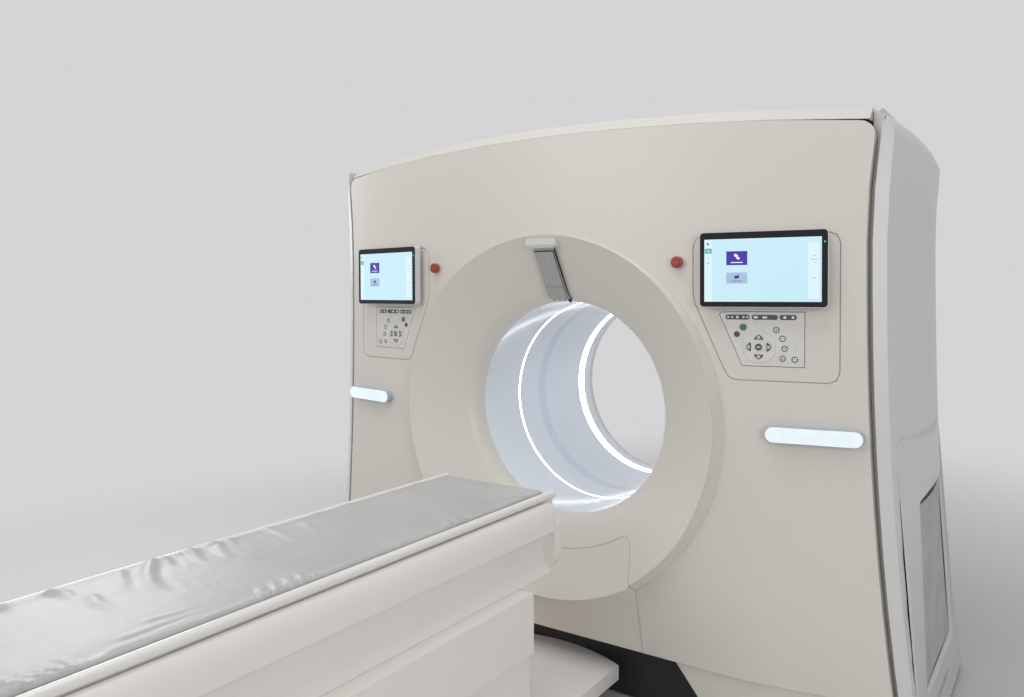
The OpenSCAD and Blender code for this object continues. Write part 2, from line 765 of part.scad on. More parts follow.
// Rotor: plate, rim and hub around the bore, with the imaging chain on its front
rotor_y = 715;
rotor_t = 30;
rotor_rim = 190;
rotor_in = bore_r + 50;
hub_r = bearing_in - 0.5;
module rotor_drum() color(steel) in_gantry() difference() {
    union() {
        y_tube(rotor_r, rotor_in, rotor_y, rotor_y + rotor_t);
        y_tube(rotor_r, rotor_r - 14, rotor_y - rotor_rim, rotor_y + rotor_t);
        y_tube(hub_r, rotor_in + 20, rotor_y, stator_y + stator_t + 70);
    }
    for (a = [0:20:340])
        rotate([0, a + 10, 0]) translate([0, 0, rotor_r - 50]) y_run(rotor_y - 1, rotor_y + rotor_t + 1)
            circle(16, $fn = 32);
}
module xray_tube() color([0.7, 0.7, 0.68]) in_gantry() translate([0, 0, focus_r + 50]) {
    y_run(rotor_y - 250, rotor_y - seat) circle(100, $fn = 90);
    y_run(rotor_y - 275, rotor_y - 250) circle(62, $fn = 64);
    translate([-150, rotor_y - 130, 20]) cube([300, 130 - seat, 80]);
}
module collimator() color([0.25, 0.26, 0.28]) in_gantry() difference() {
    translate([-120, front_d - 45, focus_r - 150]) cube([240, rotor_y - seat - front_d + 45, 98]);
    translate([-90, front_d - 12, focus_r - 160]) cube([180, 24, 140]);
}
module detector_arc() color([0.30, 0.34, 0.40]) in_gantry() translate([0, front_d - 40, focus_r])
    difference() {
        rotate([-90, 0, 0]) rotate([0, 0, 90 - 27]) rotate_extrude(angle = 54, $fn = 180)
            polygon([[detector_d, 0], [detector_d + 90, 0], [detector_d + 90, rotor_y - seat - front_d + 40],
                     [detector_d, rotor_y - seat - front_d + 40]]);
        rotate([-90, 0, 0]) rotate([0, 0, 90 - 25]) rotate_extrude(angle = 50, $fn = 180)
            translate([detector_d - 5, 12]) square([17, 56]);
    }
module generator() color([0.62, 0.64, 0.66]) in_gantry()
    for (side = [-1, 1]) {
        translate([side * 655 - 105, rotor_y - 170, -150]) cube([210, 170 - seat, 300]);
        for (k = [0:5])
            translate([side * 655 - 95, rotor_y - 180, -130 + k * 50]) cube([190, 12, 10]);
    }
module slip_ring() color([0.75, 0.62, 0.35]) in_gantry() difference() {
    y_tube(715, hub_r + seat, stator_y + stator_t + 50, stator_y + stator_t + 66);
    for (k = [0:4])
        y_tube(630 + k * 18, 622 + k * 18, stator_y + stator_t + 48, stator_y + stator_t + 53);
}

// Cooling fan behind each service panel's grille, on a bracket from the side beam
fan_y = 760;
fan_z = -590;
fan_x = 1090;
fan_shaft_r = 7;
module fan(side) color(key_grey) in_gantry() mirrored(side) translate([fan_x, fan_y, fan_z]) {
    x_run(-22, 18) circle(34, $fn = 48);
    for (a = [0:60:300])
        rotate([a, 0, 0]) translate([-4, 0, 30]) rotate([0, 0, 24]) translate([-2, -24, 0])
            cube([4, 48, fan_r - 30]);
    x_run(-88, -20) circle(fan_shaft_r, $fn = 48);
}

// Patient table
table_y1 = -table_gap;
table_y0 = table_y1 - table_len;
rim_z = -rim_drop - rim_tube_r;
cradle_in = cradle_hw - rim_tube_r;
cradle_low = rim_z - 57;
cradle_arc = 620;
shell_t = 8;
flange_z = -rim_drop - 92;
frame_z0 = flange_z - 155;
frame_z1 = cradle_low - 28;
// Section of a shallow trough, from edge to edge, at a distance d above the underside
function trough(d) = [for (k = [-8:8]) let (x = (cradle_in - 6) * k / 8)
    [x, cradle_low + d + cradle_arc - sqrt(cradle_arc * cradle_arc - x * x)]];

module cradle() color([0.88, 0.88, 0.86]) in_gantry() {
    y_run(table_y0 + 20, table_y1) union() {
        polygon(concat(trough(0), reversed(trough(shell_t))));
        for (side = [-1, 1])
            translate([side * cradle_in, rim_z]) {
                circle(rim_tube_r, $fn = 48);
                translate([-3 - side * 4, -34]) square([6, 34]);
            }
    }
}
pad_hw = cradle_in - 20;
pad_z = cradle_low + shell_t + pad_t;
function pad_under(d) = [for (k = [-8:8]) let (x = pad_hw * k / 8)
    [x, cradle_low + shell_t + d + cradle_arc - sqrt(cradle_arc * cradle_arc - x * x)]];
module cradle_pad() color([0.55, 0.56, 0.58]) in_gantry()
    y_run(table_y0 + 50, table_y1 - 30)
        polygon(concat(pad_under(seat),
                       [[pad_hw, pad_z - 6], [pad_hw - 6, pad_z], [6 - pad_hw, pad_z],
                        [-pad_hw, pad_z - 6]]));
sheet_t = 2.5;
module pad_cover() color([0.62, 0.63, 0.65]) in_gantry() {
    hw = pad_hw + seat + sheet_t;
    difference() {
        y_run(table_y0 + 50 - seat - sheet_t, table_y1 - 30 + seat + sheet_t)
            polygon([[-hw, rim_z - 8], [hw, rim_z - 8], [hw, pad_z - 5], [hw - 6, pad_z + seat + sheet_t],
                     [6 - hw, pad_z + seat + sheet_t], [-hw, pad_z - 5]]);
        y_run(table_y0 + 50 - seat, table_y1 - 30 + seat)
            polygon([[-pad_hw - seat, rim_z - 20], [pad_hw + seat, rim_z - 20],
                     [pad_hw + seat, pad_z - 5.5], [pad_hw - 6, pad_z + seat], [6 - pad_hw, pad_z + seat],
                     [-pad_hw - seat, pad_z - 5.5]]);
    }
}

carriage_hw = 150;
rail_x = 110;
carriage_len = table_len - slide_travel - 250;
module carriage() color(steel) in_gantry() {
    translate([0, table_y1 - carriage_len - 60, 0]) {
        translate([-carriage_hw, 0, cradle_low - 13]) cube([2 * carriage_hw, carriage_len, 13 - seat]);
        for (side = [-1, 1])
            translate([side * rail_x - 14, 0, cradle_low - 21]) cube([28, carriage_len, 9]);
    }
}
frame_hw = 200;
module table_frame() color(steel) in_gantry() {
    difference() {
        translate([-frame_hw, table_y0 + 30, frame_z0])
            cube([2 * frame_hw, table_len - 70, frame_z1 - frame_z0]);
        translate([-frame_hw + 8, table_y0 + 38, frame_z0 - 10])
            cube([2 * frame_hw - 16, table_len - 86, frame_z1 - frame_z0 + 2]);
    }
    for (y = lift_ys)
        translate([0, y, rod_z0]) cylinder(r = rod_r, h = frame_z1 - 4 - rod_z0, $fn = 64);
    for (side = [-1, 1], y = [table_y1 - 140, table_y1 - 760, table_y1 - 1400])
        translate([side * rail_x - 24, y, frame_z1 - 1]) difference() {
            cube([48, 90, 15.7]);
            translate([10 - seat, -1, 8 - seat]) cube([28 + 2 * seat, 92, 30]);
        }
}
// Side profile: bulging upper slab, flange, then a hollow flank
module side_profile() {
    z0 = rim_z - rim_tube_r - 3;
    polygon(concat(
        [[cradle_hw - 6, z0]],
        [for (a = [0:10:80]) [table_hw - 24 + 24 * sin(a), flange_z + 4 + (z0 - flange_z - 6) * cos(a)]],
        [[table_hw, flange_z], [table_hw, flange_z - 24], [table_hw - 14, flange_z - 30]],
        [for (k = [1:7]) let (t = k / 8) [table_hw - 16 - 26 * sin(180 * t), flange_z - 32 - 118 * t]],
        [[table_hw - 14, frame_z0], [frame_hw + seat, frame_z0],
         [frame_hw + seat, z0 - 50], [cradle_hw - 6, z0 - 42]]));
}
module table_side(side) color(white) in_gantry() mirrored(side)
    y_run(table_y0 + 30, table_y1 - 40) side_profile();
module end_cap_outline() {
    polygon(concat([[-table_hw, flange_z - 2], [table_hw, flange_z - 2]],
        [for (a = [0:15:90]) [table_hw - 60 + 60 * cos(a), frame_z0 + 60 - 60 * sin(a)]],
        [for (a = [90:-15:0]) [60 - table_hw - 60 * cos(a), frame_z0 + 60 - 60 * sin(a)]]));
}
module table_end_caps() color(white) in_gantry() {
    y_run(table_y1 - 40 + seat, table_y1) end_cap_outline();
    y_run(table_y0, table_y0 + 30 - seat) end_cap_outline();
}

// Pedestal: fixed shroud, moving skirt and two-stage lift columns
lift_ys = [-900, -1500];
ped_y0 = -1900;
ped_y1 = -520;
skirt_hw = 290;
skirt_gap = 3;
skirt_t = 6;
skirt_step = skirt_t + skirt_gap;
mid_hw = skirt_hw - skirt_step;
shroud_hw = mid_hw - skirt_step;
upper_z1 = frame_z0 - seat;
upper_z0 = upper_z1 - lift_down / 2 - 45;
mid_z1 = upper_z0 + lift_up / 2 + 10;
mid_z0 = mid_z1 - lift_down / 2 - 35;
shroud_z1 = mid_z0 + lift_up / 2 + 8;
module ring_box(hw, y0, y1, t, z0, z1) {
    difference() {
        translate([-hw, y0, z0]) cube([2 * hw, y1 - y0, z1 - z0]);
        translate([-hw + t, y0 + t, z0 - 1]) cube([2 * (hw - t), y1 - y0 - 2 * t, z1 - z0 + 2]);
    }
}
// Lip at a skirt's top edge that glides inside the next skirt
module glide_lip(hw, out, z1) {
    ring_box(hw + skirt_gap - seat, ped_y0 - out - skirt_gap + seat, ped_y1 + out + skirt_gap - seat,
             skirt_gap + skirt_t - seat, z1 - 7, z1);
}
module upper_skirt() color(white) in_gantry() {
    ring_box(skirt_hw, ped_y0 - 2 * skirt_step, ped_y1 + 2 * skirt_step, skirt_t, upper_z0, upper_z1);
    ring_box(skirt_hw, ped_y0 - 2 * skirt_step, ped_y1 + 2 * skirt_step, 110, upper_z1 - 6, upper_z1);
}
module pedestal_skirt() color(white) in_gantry() {
    ring_box(mid_hw, ped_y0 - skirt_step, ped_y1 + skirt_step, skirt_t, mid_z0, mid_z1);
    glide_lip(mid_hw, skirt_step, mid_z1);
}
cover_top = floor_z + base_cover_h;
slab_h = 50;
slab_hw = 330;
slab_out = 40;
nose_r = 585;
nose_c = kick_y - seat - nose_r;
// The slab seen from above, inset by d: a block around the pedestal and a square nose under the gantry
module slab_outline(d) {
    translate([d - slab_hw, ped_y0 - slab_out + d])
        square([2 * (slab_hw - d), ped_y1 - ped_y0 + 2 * (slab_out - d)]);
    intersection() {
        translate([0, nose_c]) circle(nose_r - d, $fn = 180);
        translate([d - nose_hw, ped_y1]) square([2 * (nose_hw - d), kick_y - ped_y1]);
    }
}
module base_cover() color(white) in_gantry() {
    ring_box(shroud_hw, ped_y0, ped_y1, skirt_t, cover_top - skirt_t, shroud_z1);
    glide_lip(shroud_hw, 0, shroud_z1);
    difference() {
        translate([0, 0, cover_top - slab_h]) linear_extrude(slab_h) slab_outline(0);
        translate([0, 0, cover_top - slab_h - 10]) linear_extrude(slab_h + 10 - skirt_t)
            slab_outline(skirt_t);
        translate([skirt_t - shroud_hw, ped_y0 + skirt_t, cover_top - slab_h - 20])
            cube([2 * (shroud_hw - skirt_t), ped_y1 - ped_y0 - 2 * skirt_t, slab_h + 40]);
    }
}
table_base_h = base_cover_h - skirt_t - seat;
table_bolt_x = 160;
table_bolt_in = 100;
module table_base() color(black) in_gantry() translate([0, 0, floor_z]) difference() {
    union() {
        difference() {
            union() {
                translate([-240, ped_y0 + 10, 0]) cube([480, ped_y1 - ped_y0 - 20, table_base_h]);
                translate([-180, ped_y1 - 20, 0]) cube([360, 20 - ped_y1, table_base_h]);
                translate([-180, ped_y1 - 20, 0])
                    cube([360, kick_y - seat - ped_y1 + 20, base_cover_h - slab_h - seat]);
            }
            translate([-210, ped_y0 + 40, 12]) cube([420, ped_y1 - ped_y0 - 80, 200]);
            translate([-150, ped_y1 + 10, 12]) cube([300, -ped_y1 - 40, 200]);
        }
        for (y = lift_ys)
            translate([-80, y - 80, 10]) cube([160, 160, 12]);
    }
    for (sx = [-1, 1], y = [ped_y0 + table_bolt_in, ped_y1 - table_bolt_in])
        translate([sx * table_bolt_x, y, -1]) cylinder(r = 9, h = 20, $fn = 48);
}
barrel_r = 62;
mid_r = 49;
rod_r = 36;
barrel_h = lift_down + 140;
ram_z1 = frame_z0;
ram_z0 = ram_z1 - lift_down;
rod_z0 = ram_z1 - lift_up - 30;
module lift_cylinders() color([0.65, 0.66, 0.68]) in_gantry() for (y = lift_ys)
    translate([0, y, floor_z + 22 + seat]) difference() {
        cylinder(r = barrel_r, h = barrel_h, $fn = 90);
        translate([0, 0, 6]) cylinder(r = mid_r + 0.5, h = barrel_h, $fn = 90);
    }
module lift_rams() color([0.80, 0.81, 0.83]) in_gantry() for (y = lift_ys)
    translate([0, y, ram_z0]) difference() {
        cylinder(r = mid_r, h = ram_z1 - ram_z0, $fn = 90);
        translate([0, 0, -1]) cylinder(r = rod_r + 0.5, h = ram_z1 - ram_z0 + 2, $fn = 90);
    }

gantry_base();
stator_frame();
main_bearing();
brush_block();
power_cabinet();
front_cover();
front_access_panel();
rear_cover();
top_cover();
side_cover(-1);  // side_cover_left
side_cover(1);  // side_cover_right
service_panel(-1);  // service_panel_left
service_panel(1);  // service_panel_right
bore_liner_front();
bore_liner_rear();
scan_window();
bore_lights();
status_light(-1);  // status_light_left
status_light(1);  // status_light_right
control_panel(-1);  // control_panel_left
control_panel(1);  // control_panel_right
touchscreen(-1);  // touchscreen_left
touchscreen(1);  // touchscreen_right
keypad(-1);  // keypad_left
keypad(1);  // keypad_right
patient_display();
rotor_drum();
xray_tube();
collimator();
detector_arc();
generator();
slip_ring();
fan(-1);  // fan_left
fan(1);  // fan_right
estop(-1);  // estop_left
estop(1);  // estop_right
key("up", -1);  // key_up_left
key("down", -1);  // key_down_left
key("in", -1);  // key_in_left
key("out", -1);  // key_out_left
key("start", -1);  // key_start_left
key("up", 1);  // key_up_right
key("down", 1);  // key_down_right
key("in", 1);  // key_in_right
key("out", 1);  // key_out_right
key("start", 1);  // key_start_right
table_base();
base_cover();
lift_cylinders();
lift_rams();
pedestal_skirt();
upper_skirt();
table_frame();
table_side(-1);  // table_side_left
table_side(1);  // table_side_right
table_end_caps();
carriage();
cradle();
cradle_pad();
pad_cover();
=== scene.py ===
"""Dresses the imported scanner: finishes, screens, keypads, soft goods and the studio."""

import logging
import math
from dataclasses import dataclass, field
from enum import Enum
from functools import cache
from typing import Callable, Sequence, Union

import bmesh
import bpy
import numpy as np
from mathutils import Matrix, Vector, geometry


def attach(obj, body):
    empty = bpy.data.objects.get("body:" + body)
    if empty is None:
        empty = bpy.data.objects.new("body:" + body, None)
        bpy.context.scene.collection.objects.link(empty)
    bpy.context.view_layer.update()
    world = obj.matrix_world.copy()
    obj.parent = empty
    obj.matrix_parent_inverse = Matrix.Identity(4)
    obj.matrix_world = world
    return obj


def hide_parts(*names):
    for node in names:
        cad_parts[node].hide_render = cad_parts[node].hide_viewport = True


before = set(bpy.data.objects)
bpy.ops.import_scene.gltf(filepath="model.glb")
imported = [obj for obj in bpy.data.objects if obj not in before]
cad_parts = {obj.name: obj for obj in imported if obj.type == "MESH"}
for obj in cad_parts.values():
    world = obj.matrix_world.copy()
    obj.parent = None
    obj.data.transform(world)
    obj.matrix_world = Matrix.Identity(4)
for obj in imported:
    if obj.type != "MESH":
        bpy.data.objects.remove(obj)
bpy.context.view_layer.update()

LOG = logging.getLogger("scanner")
Colour = tuple[float, float, float]
Point = tuple[float, float, float]
Flat = tuple[float, float]
Mapper = Callable[[float, float, float], Point]

# The drawing frame: millimetres from the front plane and the bore axis
FRONT_DEPTH = 620.0
AXIS_HEIGHT = 1020.0
DEPTH = 2 * FRONT_DEPTH + 10
BOW_RADIUS = 5120.0
MM = 0.001


def row(x: float, y: float, z: float) -> Point:
    """Turns drawing millimetres into the row frame's metres."""
    return (x * MM, (y - FRONT_DEPTH) * MM, (z + AXIS_HEIGHT) * MM)


def bow(x: float) -> float:
    """Plan sag of the bowed face at a distance x from the centre line, in mm."""
    return BOW_RADIUS - math.sqrt(BOW_RADIUS * BOW_RADIUS - x * x)


# Shader graphs


class Signal:
    """One output of a shader node; Python's operators on it add Math nodes."""

    def __init__(self, graph: "Graph", socket: bpy.types.NodeSocket) -> None:
        """Keeps the socket and the graph that it belongs to."""
        self.graph = graph
        self.socket = socket

    def _math(self, operation: str, first: "Value", second: "Value") -> "Signal":
        """Adds a Math node.

        Args:
            operation: Blender's name of the operation.
            first: left operand.
            second: right operand.

        Returns:
            The node's result.
        """
        return self.graph.node("ShaderNodeMath", {"operation": operation}, {0: first, 1: second})

    def __add__(self, other: "Value") -> "Signal":
        """Adds a value."""
        return self._math("ADD", self, other)

    def __radd__(self, other: "Value") -> "Signal":
        """Adds to a value."""
        return self._math("ADD", other, self)

    def __sub__(self, other: "Value") -> "Signal":
        """Subtracts a value."""
        return self._math("SUBTRACT", self, other)

    def __rsub__(self, other: "Value") -> "Signal":
        """Subtracts from a value."""
        return self._math("SUBTRACT", other, self)

    def __mul__(self, other: "Value") -> "Signal":
        """Multiplies by a value."""
        return self._math("MULTIPLY", self, other)

    def __rmul__(self, other: "Value") -> "Signal":
        """Multiplies a value."""
        return self._math("MULTIPLY", other, self)

    def step(self, low: float, high: float) -> "Signal":
        """Rises smoothly from 0 at low to 1 at high.

        Args:
            low: value that gives 0.
            high: value that gives 1.

        Returns:
            The stepped signal.
        """
        return self.graph.node(
            "ShaderNodeMapRange",
            {"interpolation_type": "SMOOTHSTEP"},
            {"Value": self, "From Min": low, "From Max": high},
        )


Value = Union[Signal, float, int, Sequence[float]]
EDGE_SAMPLES = 4


class Graph:
    """The node tree of one material."""

    def __init__(self, name: str) -> None:
        """Makes an empty material of that name.

        Args:
            name: the material's name.
        """
        self.material = bpy.data.materials.new(name)
        self.material.use_nodes = True
        self.tree = self.material.node_tree
        self.tree.nodes.clear()

    def node(self, kind: str, settings: dict | None = None, inputs: dict | None = None,
             output: int | str = 0) -> Signal:
        """Adds a node.

        Args:
            kind: Blender's node type.
            settings: attributes that are set first; "stops" fills a colour ramp.
            inputs: values or signals by socket name or number.
            output: the output to return.

        Returns:
            That output.
        """
        made = self.tree.nodes.new(kind)
        for key, value in (settings or {}).items():
            if key == "stops":
                self._fill_ramp(made, value)
            else:
                setattr(made, key, value)
        for key, value in (inputs or {}).items():
            self.feed(made.inputs[key], value)
        return Signal(self, made.outputs[output])

    @staticmethod
    def _fill_ramp(made: bpy.types.Node, stops: Sequence[tuple[float, Colour]]) -> None:
        """Gives a colour ramp its stops.

        Args:
            made: the colour ramp node.
            stops: place and colour of each stop.
        """
        elements = made.color_ramp.elements
        while len(elements) < len(stops):
            elements.new(0.5)
        for element, (place, colour) in zip(elements, stops):
            element.position = place
            element.color = (*colour, 1.0)

    def feed(self, socket: bpy.types.NodeSocket, value: Value) -> None:
        """Links a signal to an input, or writes a constant on it.

        Args:
            socket: the input.
            value: a signal, a number, a colour or a vector.
        """
        if isinstance(value, Signal):
            self.tree.links.new(value.socket, socket)
        elif isinstance(value, (tuple, list)) and socket.type == "RGBA":
            socket.default_value = (*value[:3], 1.0)
        else:
            socket.default_value = value

    def place(self) -> Signal:
        """Returns the point on the piece, in metres in the row frame."""
        return self.node("ShaderNodeTexCoord", output="Object")

    def axis(self, name: str) -> Signal:
        """Returns one coordinate of the point, named X, Y or Z."""
        return self.node("ShaderNodeSeparateXYZ", None, {0: self.place()}, name)

    def stretched(self, scale: Point) -> Signal:
        """Returns the point with each axis scaled."""
        return self.node("ShaderNodeVectorMath", {"operation": "MULTIPLY"},
                         {0: self.place(), 1: scale})

    def grain(self, scale: float, detail: float = 3.0, rough: float = 0.5,
              where: Signal | None = None) -> Signal:
        """Returns noise about 0.5 whose cells measure 1 / scale metres.

        Args:
            scale: cells to a metre.
            detail: octaves.
            rough: share of the finer octaves.
            where: the place to read, if not the point on the piece.

        Returns:
            The noise.
        """
        return self.node("ShaderNodeTexNoise", None,
                         {"Vector": where or self.place(), "Scale": scale, "Detail": detail,
                          "Roughness": rough})

    def blend(self, mask: Value, low: Value, high: Value) -> Signal:
        """Mixes two colours by a mask.

        Args:
            mask: signal from 0 to 1.
            low: colour at 0.
            high: colour at 1.

        Returns:
            The colour.
        """
        mixed = self.tree.nodes.new("ShaderNodeMix")
        mixed.data_type = "RGBA"
        colours = [socket for socket in mixed.inputs if socket.type == "RGBA"]
        self.feed(mixed.inputs[0], mask)
        self.feed(colours[0], low)
        self.feed(colours[1], high)
        return Signal(self, next(socket for socket in mixed.outputs if socket.type == "RGBA"))

    def edge(self, radius: float) -> Signal:
        """Returns the normal with edges rounded by a radius in metres."""
        return self.node("ShaderNodeBevel", {"samples": EDGE_SAMPLES}, {"Radius": radius})

    def bump(self, height: Signal, strength: float, depth: float,
             normal: Signal | None = None) -> Signal:
        """Returns the normal disturbed by a height.

        Args:
            height: signal from 0 to 1.
            strength: share of the effect.
            depth: metres that 1 stands for.
            normal: the normal to start from.

        Returns:
            The normal.
        """
        inputs: dict = {"Strength": strength, "Distance": depth, "Height": height}
        if normal is not None:
            inputs["Normal"] = normal
        return self.node("ShaderNodeBump", None, inputs)

    def surface(self, **inputs: Value) -> bpy.types.Material:
        """Ends the graph in one shader.

        Args:
            **inputs: the shader's sockets, with underscores for spaces.

        Returns:
            The finished material.
        """
        named = {key.replace("_", " "): value for key, value in inputs.items()}
        shader = self.node("ShaderNodeBsdfPrincipled", None, named)
        out = self.tree.nodes.new("ShaderNodeOutputMaterial")
        self.tree.links.new(shader.socket, out.inputs["Surface"])
        return self.material


# Finishes


def tinted(colour: Colour, factor: float) -> Colour:
    """Scales a colour, kept below white."""
    return tuple(min(0.98, channel * factor) for channel in colour)


@dataclass(frozen=True)
class Finish:
    """A named finish that makes its material once."""

    name: str
    colour: Colour

    @cache
    def material(self) -> bpy.types.Material:
        """Returns the finish's material, made at its first use."""
        return self.shade(Graph(self.name))

    def mottled(self, graph: Graph, mask: Signal, low: float, high: float) -> Signal:
        """Varies the finish's colour.

        Args:
            graph: the material's graph.
            mask: signal from 0 to 1.
            low: factor of the colour at 0.
            high: factor of the colour at 1.

        Returns:
            The colour.
        """
        return graph.blend(mask, tinted(self.colour, low), tinted(self.colour, high))

    def shade(self, graph: Graph) -> bpy.types.Material:
        """Builds the nodes; each kind of finish has its own."""
        raise NotImplementedError


@dataclass(frozen=True)
class Moulded(Finish):
    """Painted or moulded plastic: faint orange peel, soft edges and a little dust low down."""

    rough: float = 0.34
    soft_edge: float = 0.0025
    dust: float = 0.06
    coat: float = 0.0

    def shade(self, graph: Graph) -> bpy.types.Material:
        """Builds the nodes.

        Args:
            graph: the material's empty graph.

        Returns:
            The finished material.
        """
        cloud = graph.grain(1.7, 1.0)
        low = 1 - graph.axis("Z").step(0.02, 0.55)
        wear = cloud * 0.55 + low * graph.grain(4.0, 1.0) * 0.9
        tone = self.mottled(graph, wear.step(0.2, 1.25), 1.012, 1.0 - 1.6 * self.dust)
        peel = graph.bump(graph.grain(160.0, 1.0), 0.05, 0.0002, graph.edge(self.soft_edge))
        gloss = graph.grain(2.4, 1.0) * 0.10 + (self.rough - 0.05)
        return graph.surface(Base_Color=tone, Roughness=gloss, Normal=peel, Coat_Weight=self.coat,
                             Coat_Roughness=0.12)


@dataclass(frozen=True)
class Painted(Finish):
    """Powder coat or enamel on steel: fine texture, cloudy tone and softly rounded edges."""

    rough: float = 0.5
    metal: float = 0.0

    def shade(self, graph: Graph) -> bpy.types.Material:
        """Builds the nodes.

        Args:
            graph: the material's empty graph.

        Returns:
            The finished material.
        """
        coat = graph.grain(900.0, 2.0)
        cloud = graph.grain(6.0, 5.0)
        tone = self.mottled(graph, cloud.step(0.3, 0.75), 0.88, 1.1)
        normal = graph.bump(coat, 0.3, 0.0002, graph.edge(0.0015))
        return graph.surface(Base_Color=tone, Metallic=self.metal, Normal=normal,
                             Roughness=cloud * 0.16 + (self.rough - 0.08))


@dataclass(frozen=True)
class Turned(Finish):
    """Ground or turned metal with fine streaks along an axis."""

    rough: float = 0.32
    streaks: Point = (3.0, 400.0, 400.0)

    def shade(self, graph: Graph) -> bpy.types.Material:
        """Builds the nodes.

        Args:
            graph: the material's empty graph.

        Returns:
            The finished material.
        """
        streak = graph.grain(1.0, 3.0, 0.6, graph.stretched(self.streaks))
        tone = self.mottled(graph, streak.step(0.3, 0.7), 0.84, 1.06)
        return graph.surface(Base_Color=tone, Metallic=1.0,
                             Roughness=streak * 0.2 + (self.rough - 0.1),
                             Normal=graph.bump(streak, 0.2, 0.0001, graph.edge(0.001)))


@dataclass(frozen=True)
class Glow(Finish):
    """A lit diffuser, a little uneven as the lamps behind it are."""

    strength: float = 1.0
    uneven: float = 0.06
    period: float = 22.0
    body: float = 0.75

    def shade(self, graph: Graph) -> bpy.types.Material:
        """Builds the nodes.

        Args:
            graph: the material's empty graph.

        Returns:
            The finished material.
        """
        lamps = graph.grain(self.period, 1.0)
        dim = tinted(self.colour, 1.0 - self.uneven)
        light = graph.blend(lamps.step(0.3, 0.7), dim, self.colour)
        return graph.surface(Base_Color=tinted(self.colour, self.body), Roughness=0.35,
                             Emission_Color=light, Emission_Strength=self.strength)


@dataclass(frozen=True)
class Glass(Finish):
    """Dark cover glass with faint fingermarks."""

    rough: float = 0.08

    def shade(self, graph: Graph) -> bpy.types.Material:
        """Builds the nodes.

        Args:
            graph: the material's empty graph.

        Returns:
            The finished material.
        """
        smear = graph.grain(38.0, 5.0, 0.6)
        return graph.surface(Base_Color=self.mottled(graph, smear.step(0.45, 0.8), 1.0, 1.5),
                             Roughness=smear.step(0.4, 0.9) * 0.16 + self.rough,
                             Normal=graph.edge(0.0012), Coat_Weight=0.12, Coat_Roughness=0.04,
                             Specular_IOR_Level=0.3)


@dataclass(frozen=True)
class Membrane(Finish):
    """Printed or soft-touch plastic with a fine even texture."""

    rough: float = 0.5
    soft_edge: float = 0.0008

    def shade(self, graph: Graph) -> bpy.types.Material:
        """Builds the nodes.

        Args:
            graph: the material's empty graph.

        Returns:
            The finished material.
        """
        fine = graph.grain(1500.0, 2.0)
        cloud = graph.grain(30.0, 3.0)
        tone = self.mottled(graph, cloud.step(0.3, 0.7), 0.95, 1.03)
        return graph.surface(Base_Color=tone, Roughness=cloud * 0.1 + (self.rough - 0.05),
                             Normal=graph.bump(fine, 0.22, 0.0001, graph.edge(self.soft_edge)))


@dataclass(frozen=True)
class Vinyl(Finish):
    """Coated upholstery cloth: satin face, fine pressed grain and small creases."""

    def shade(self, graph: Graph) -> bpy.types.Material:
        """Builds the nodes.

        Args:
            graph: the material's empty graph.

        Returns:
            The finished material.
        """
        grain = graph.node("ShaderNodeTexVoronoi", {"feature": "DISTANCE_TO_EDGE"},
                           {"Vector": graph.place(), "Scale": 620.0})
        crease = graph.grain(1.0, 5.0, 0.62, graph.stretched((34.0, 13.0, 30.0)))
        crumple = graph.grain(46.0, 4.0, 0.55)
        cloud = graph.grain(5.0, 4.0)
        tone = self.mottled(graph, cloud.step(0.25, 0.8), 0.94, 1.05)
        pressed = graph.bump(grain.step(0.0, 0.22), 0.10, 0.00012)
        creased = graph.bump(crease, 0.3, 0.0035, pressed)
        normal = graph.bump(crumple, 0.16, 0.0014, creased)
        return graph.surface(Base_Color=tone, Normal=normal, Specular_IOR_Level=0.35,
                             Roughness=crumple * 0.14 + 0.32)


@dataclass(frozen=True)
class Foam(Finish):
    """Open-cell foam in a thin knitted sleeve."""

    def shade(self, graph: Graph) -> bpy.types.Material:
        """Builds the nodes.

        Args:
            graph: the material's empty graph.

        Returns:
            The finished material.
        """
        cells = graph.node("ShaderNodeTexVoronoi", None, {"Vector": graph.place(), "Scale": 700.0})
        cloud = graph.grain(14.0, 4.0)
        tone = self.mottled(graph, cells.step(0.1, 0.6), 1.05, 0.82)
        return graph.surface(Base_Color=tone, Roughness=cloud * 0.1 + 0.8,
                             Normal=graph.bump(cells, 0.5, 0.0004), Sheen_Weight=0.3)


@dataclass(frozen=True)
class Banded(Finish):
    """A finish with a second colour above a height, for a hood over a window."""

    upper: Colour = (0.8, 0.8, 0.78)
    height: float = 1.0
    rough: float = 0.3

    def shade(self, graph: Graph) -> bpy.types.Material:
        """Builds the nodes.

        Args:
            graph: the material's empty graph.

        Returns:
            The finished material.
        """
        seam = 0.0004
        above = graph.axis("Z").step(self.height - seam, self.height + seam)
        cloud = graph.grain(60.0, 3.0)
        lower = self.mottled(graph, cloud.step(0.3, 0.7), 0.94, 1.04)
        return graph.surface(Base_Color=graph.blend(above, lower, self.upper),
                             Roughness=cloud * 0.08 + (self.rough - 0.04),
                             Normal=graph.edge(0.003))


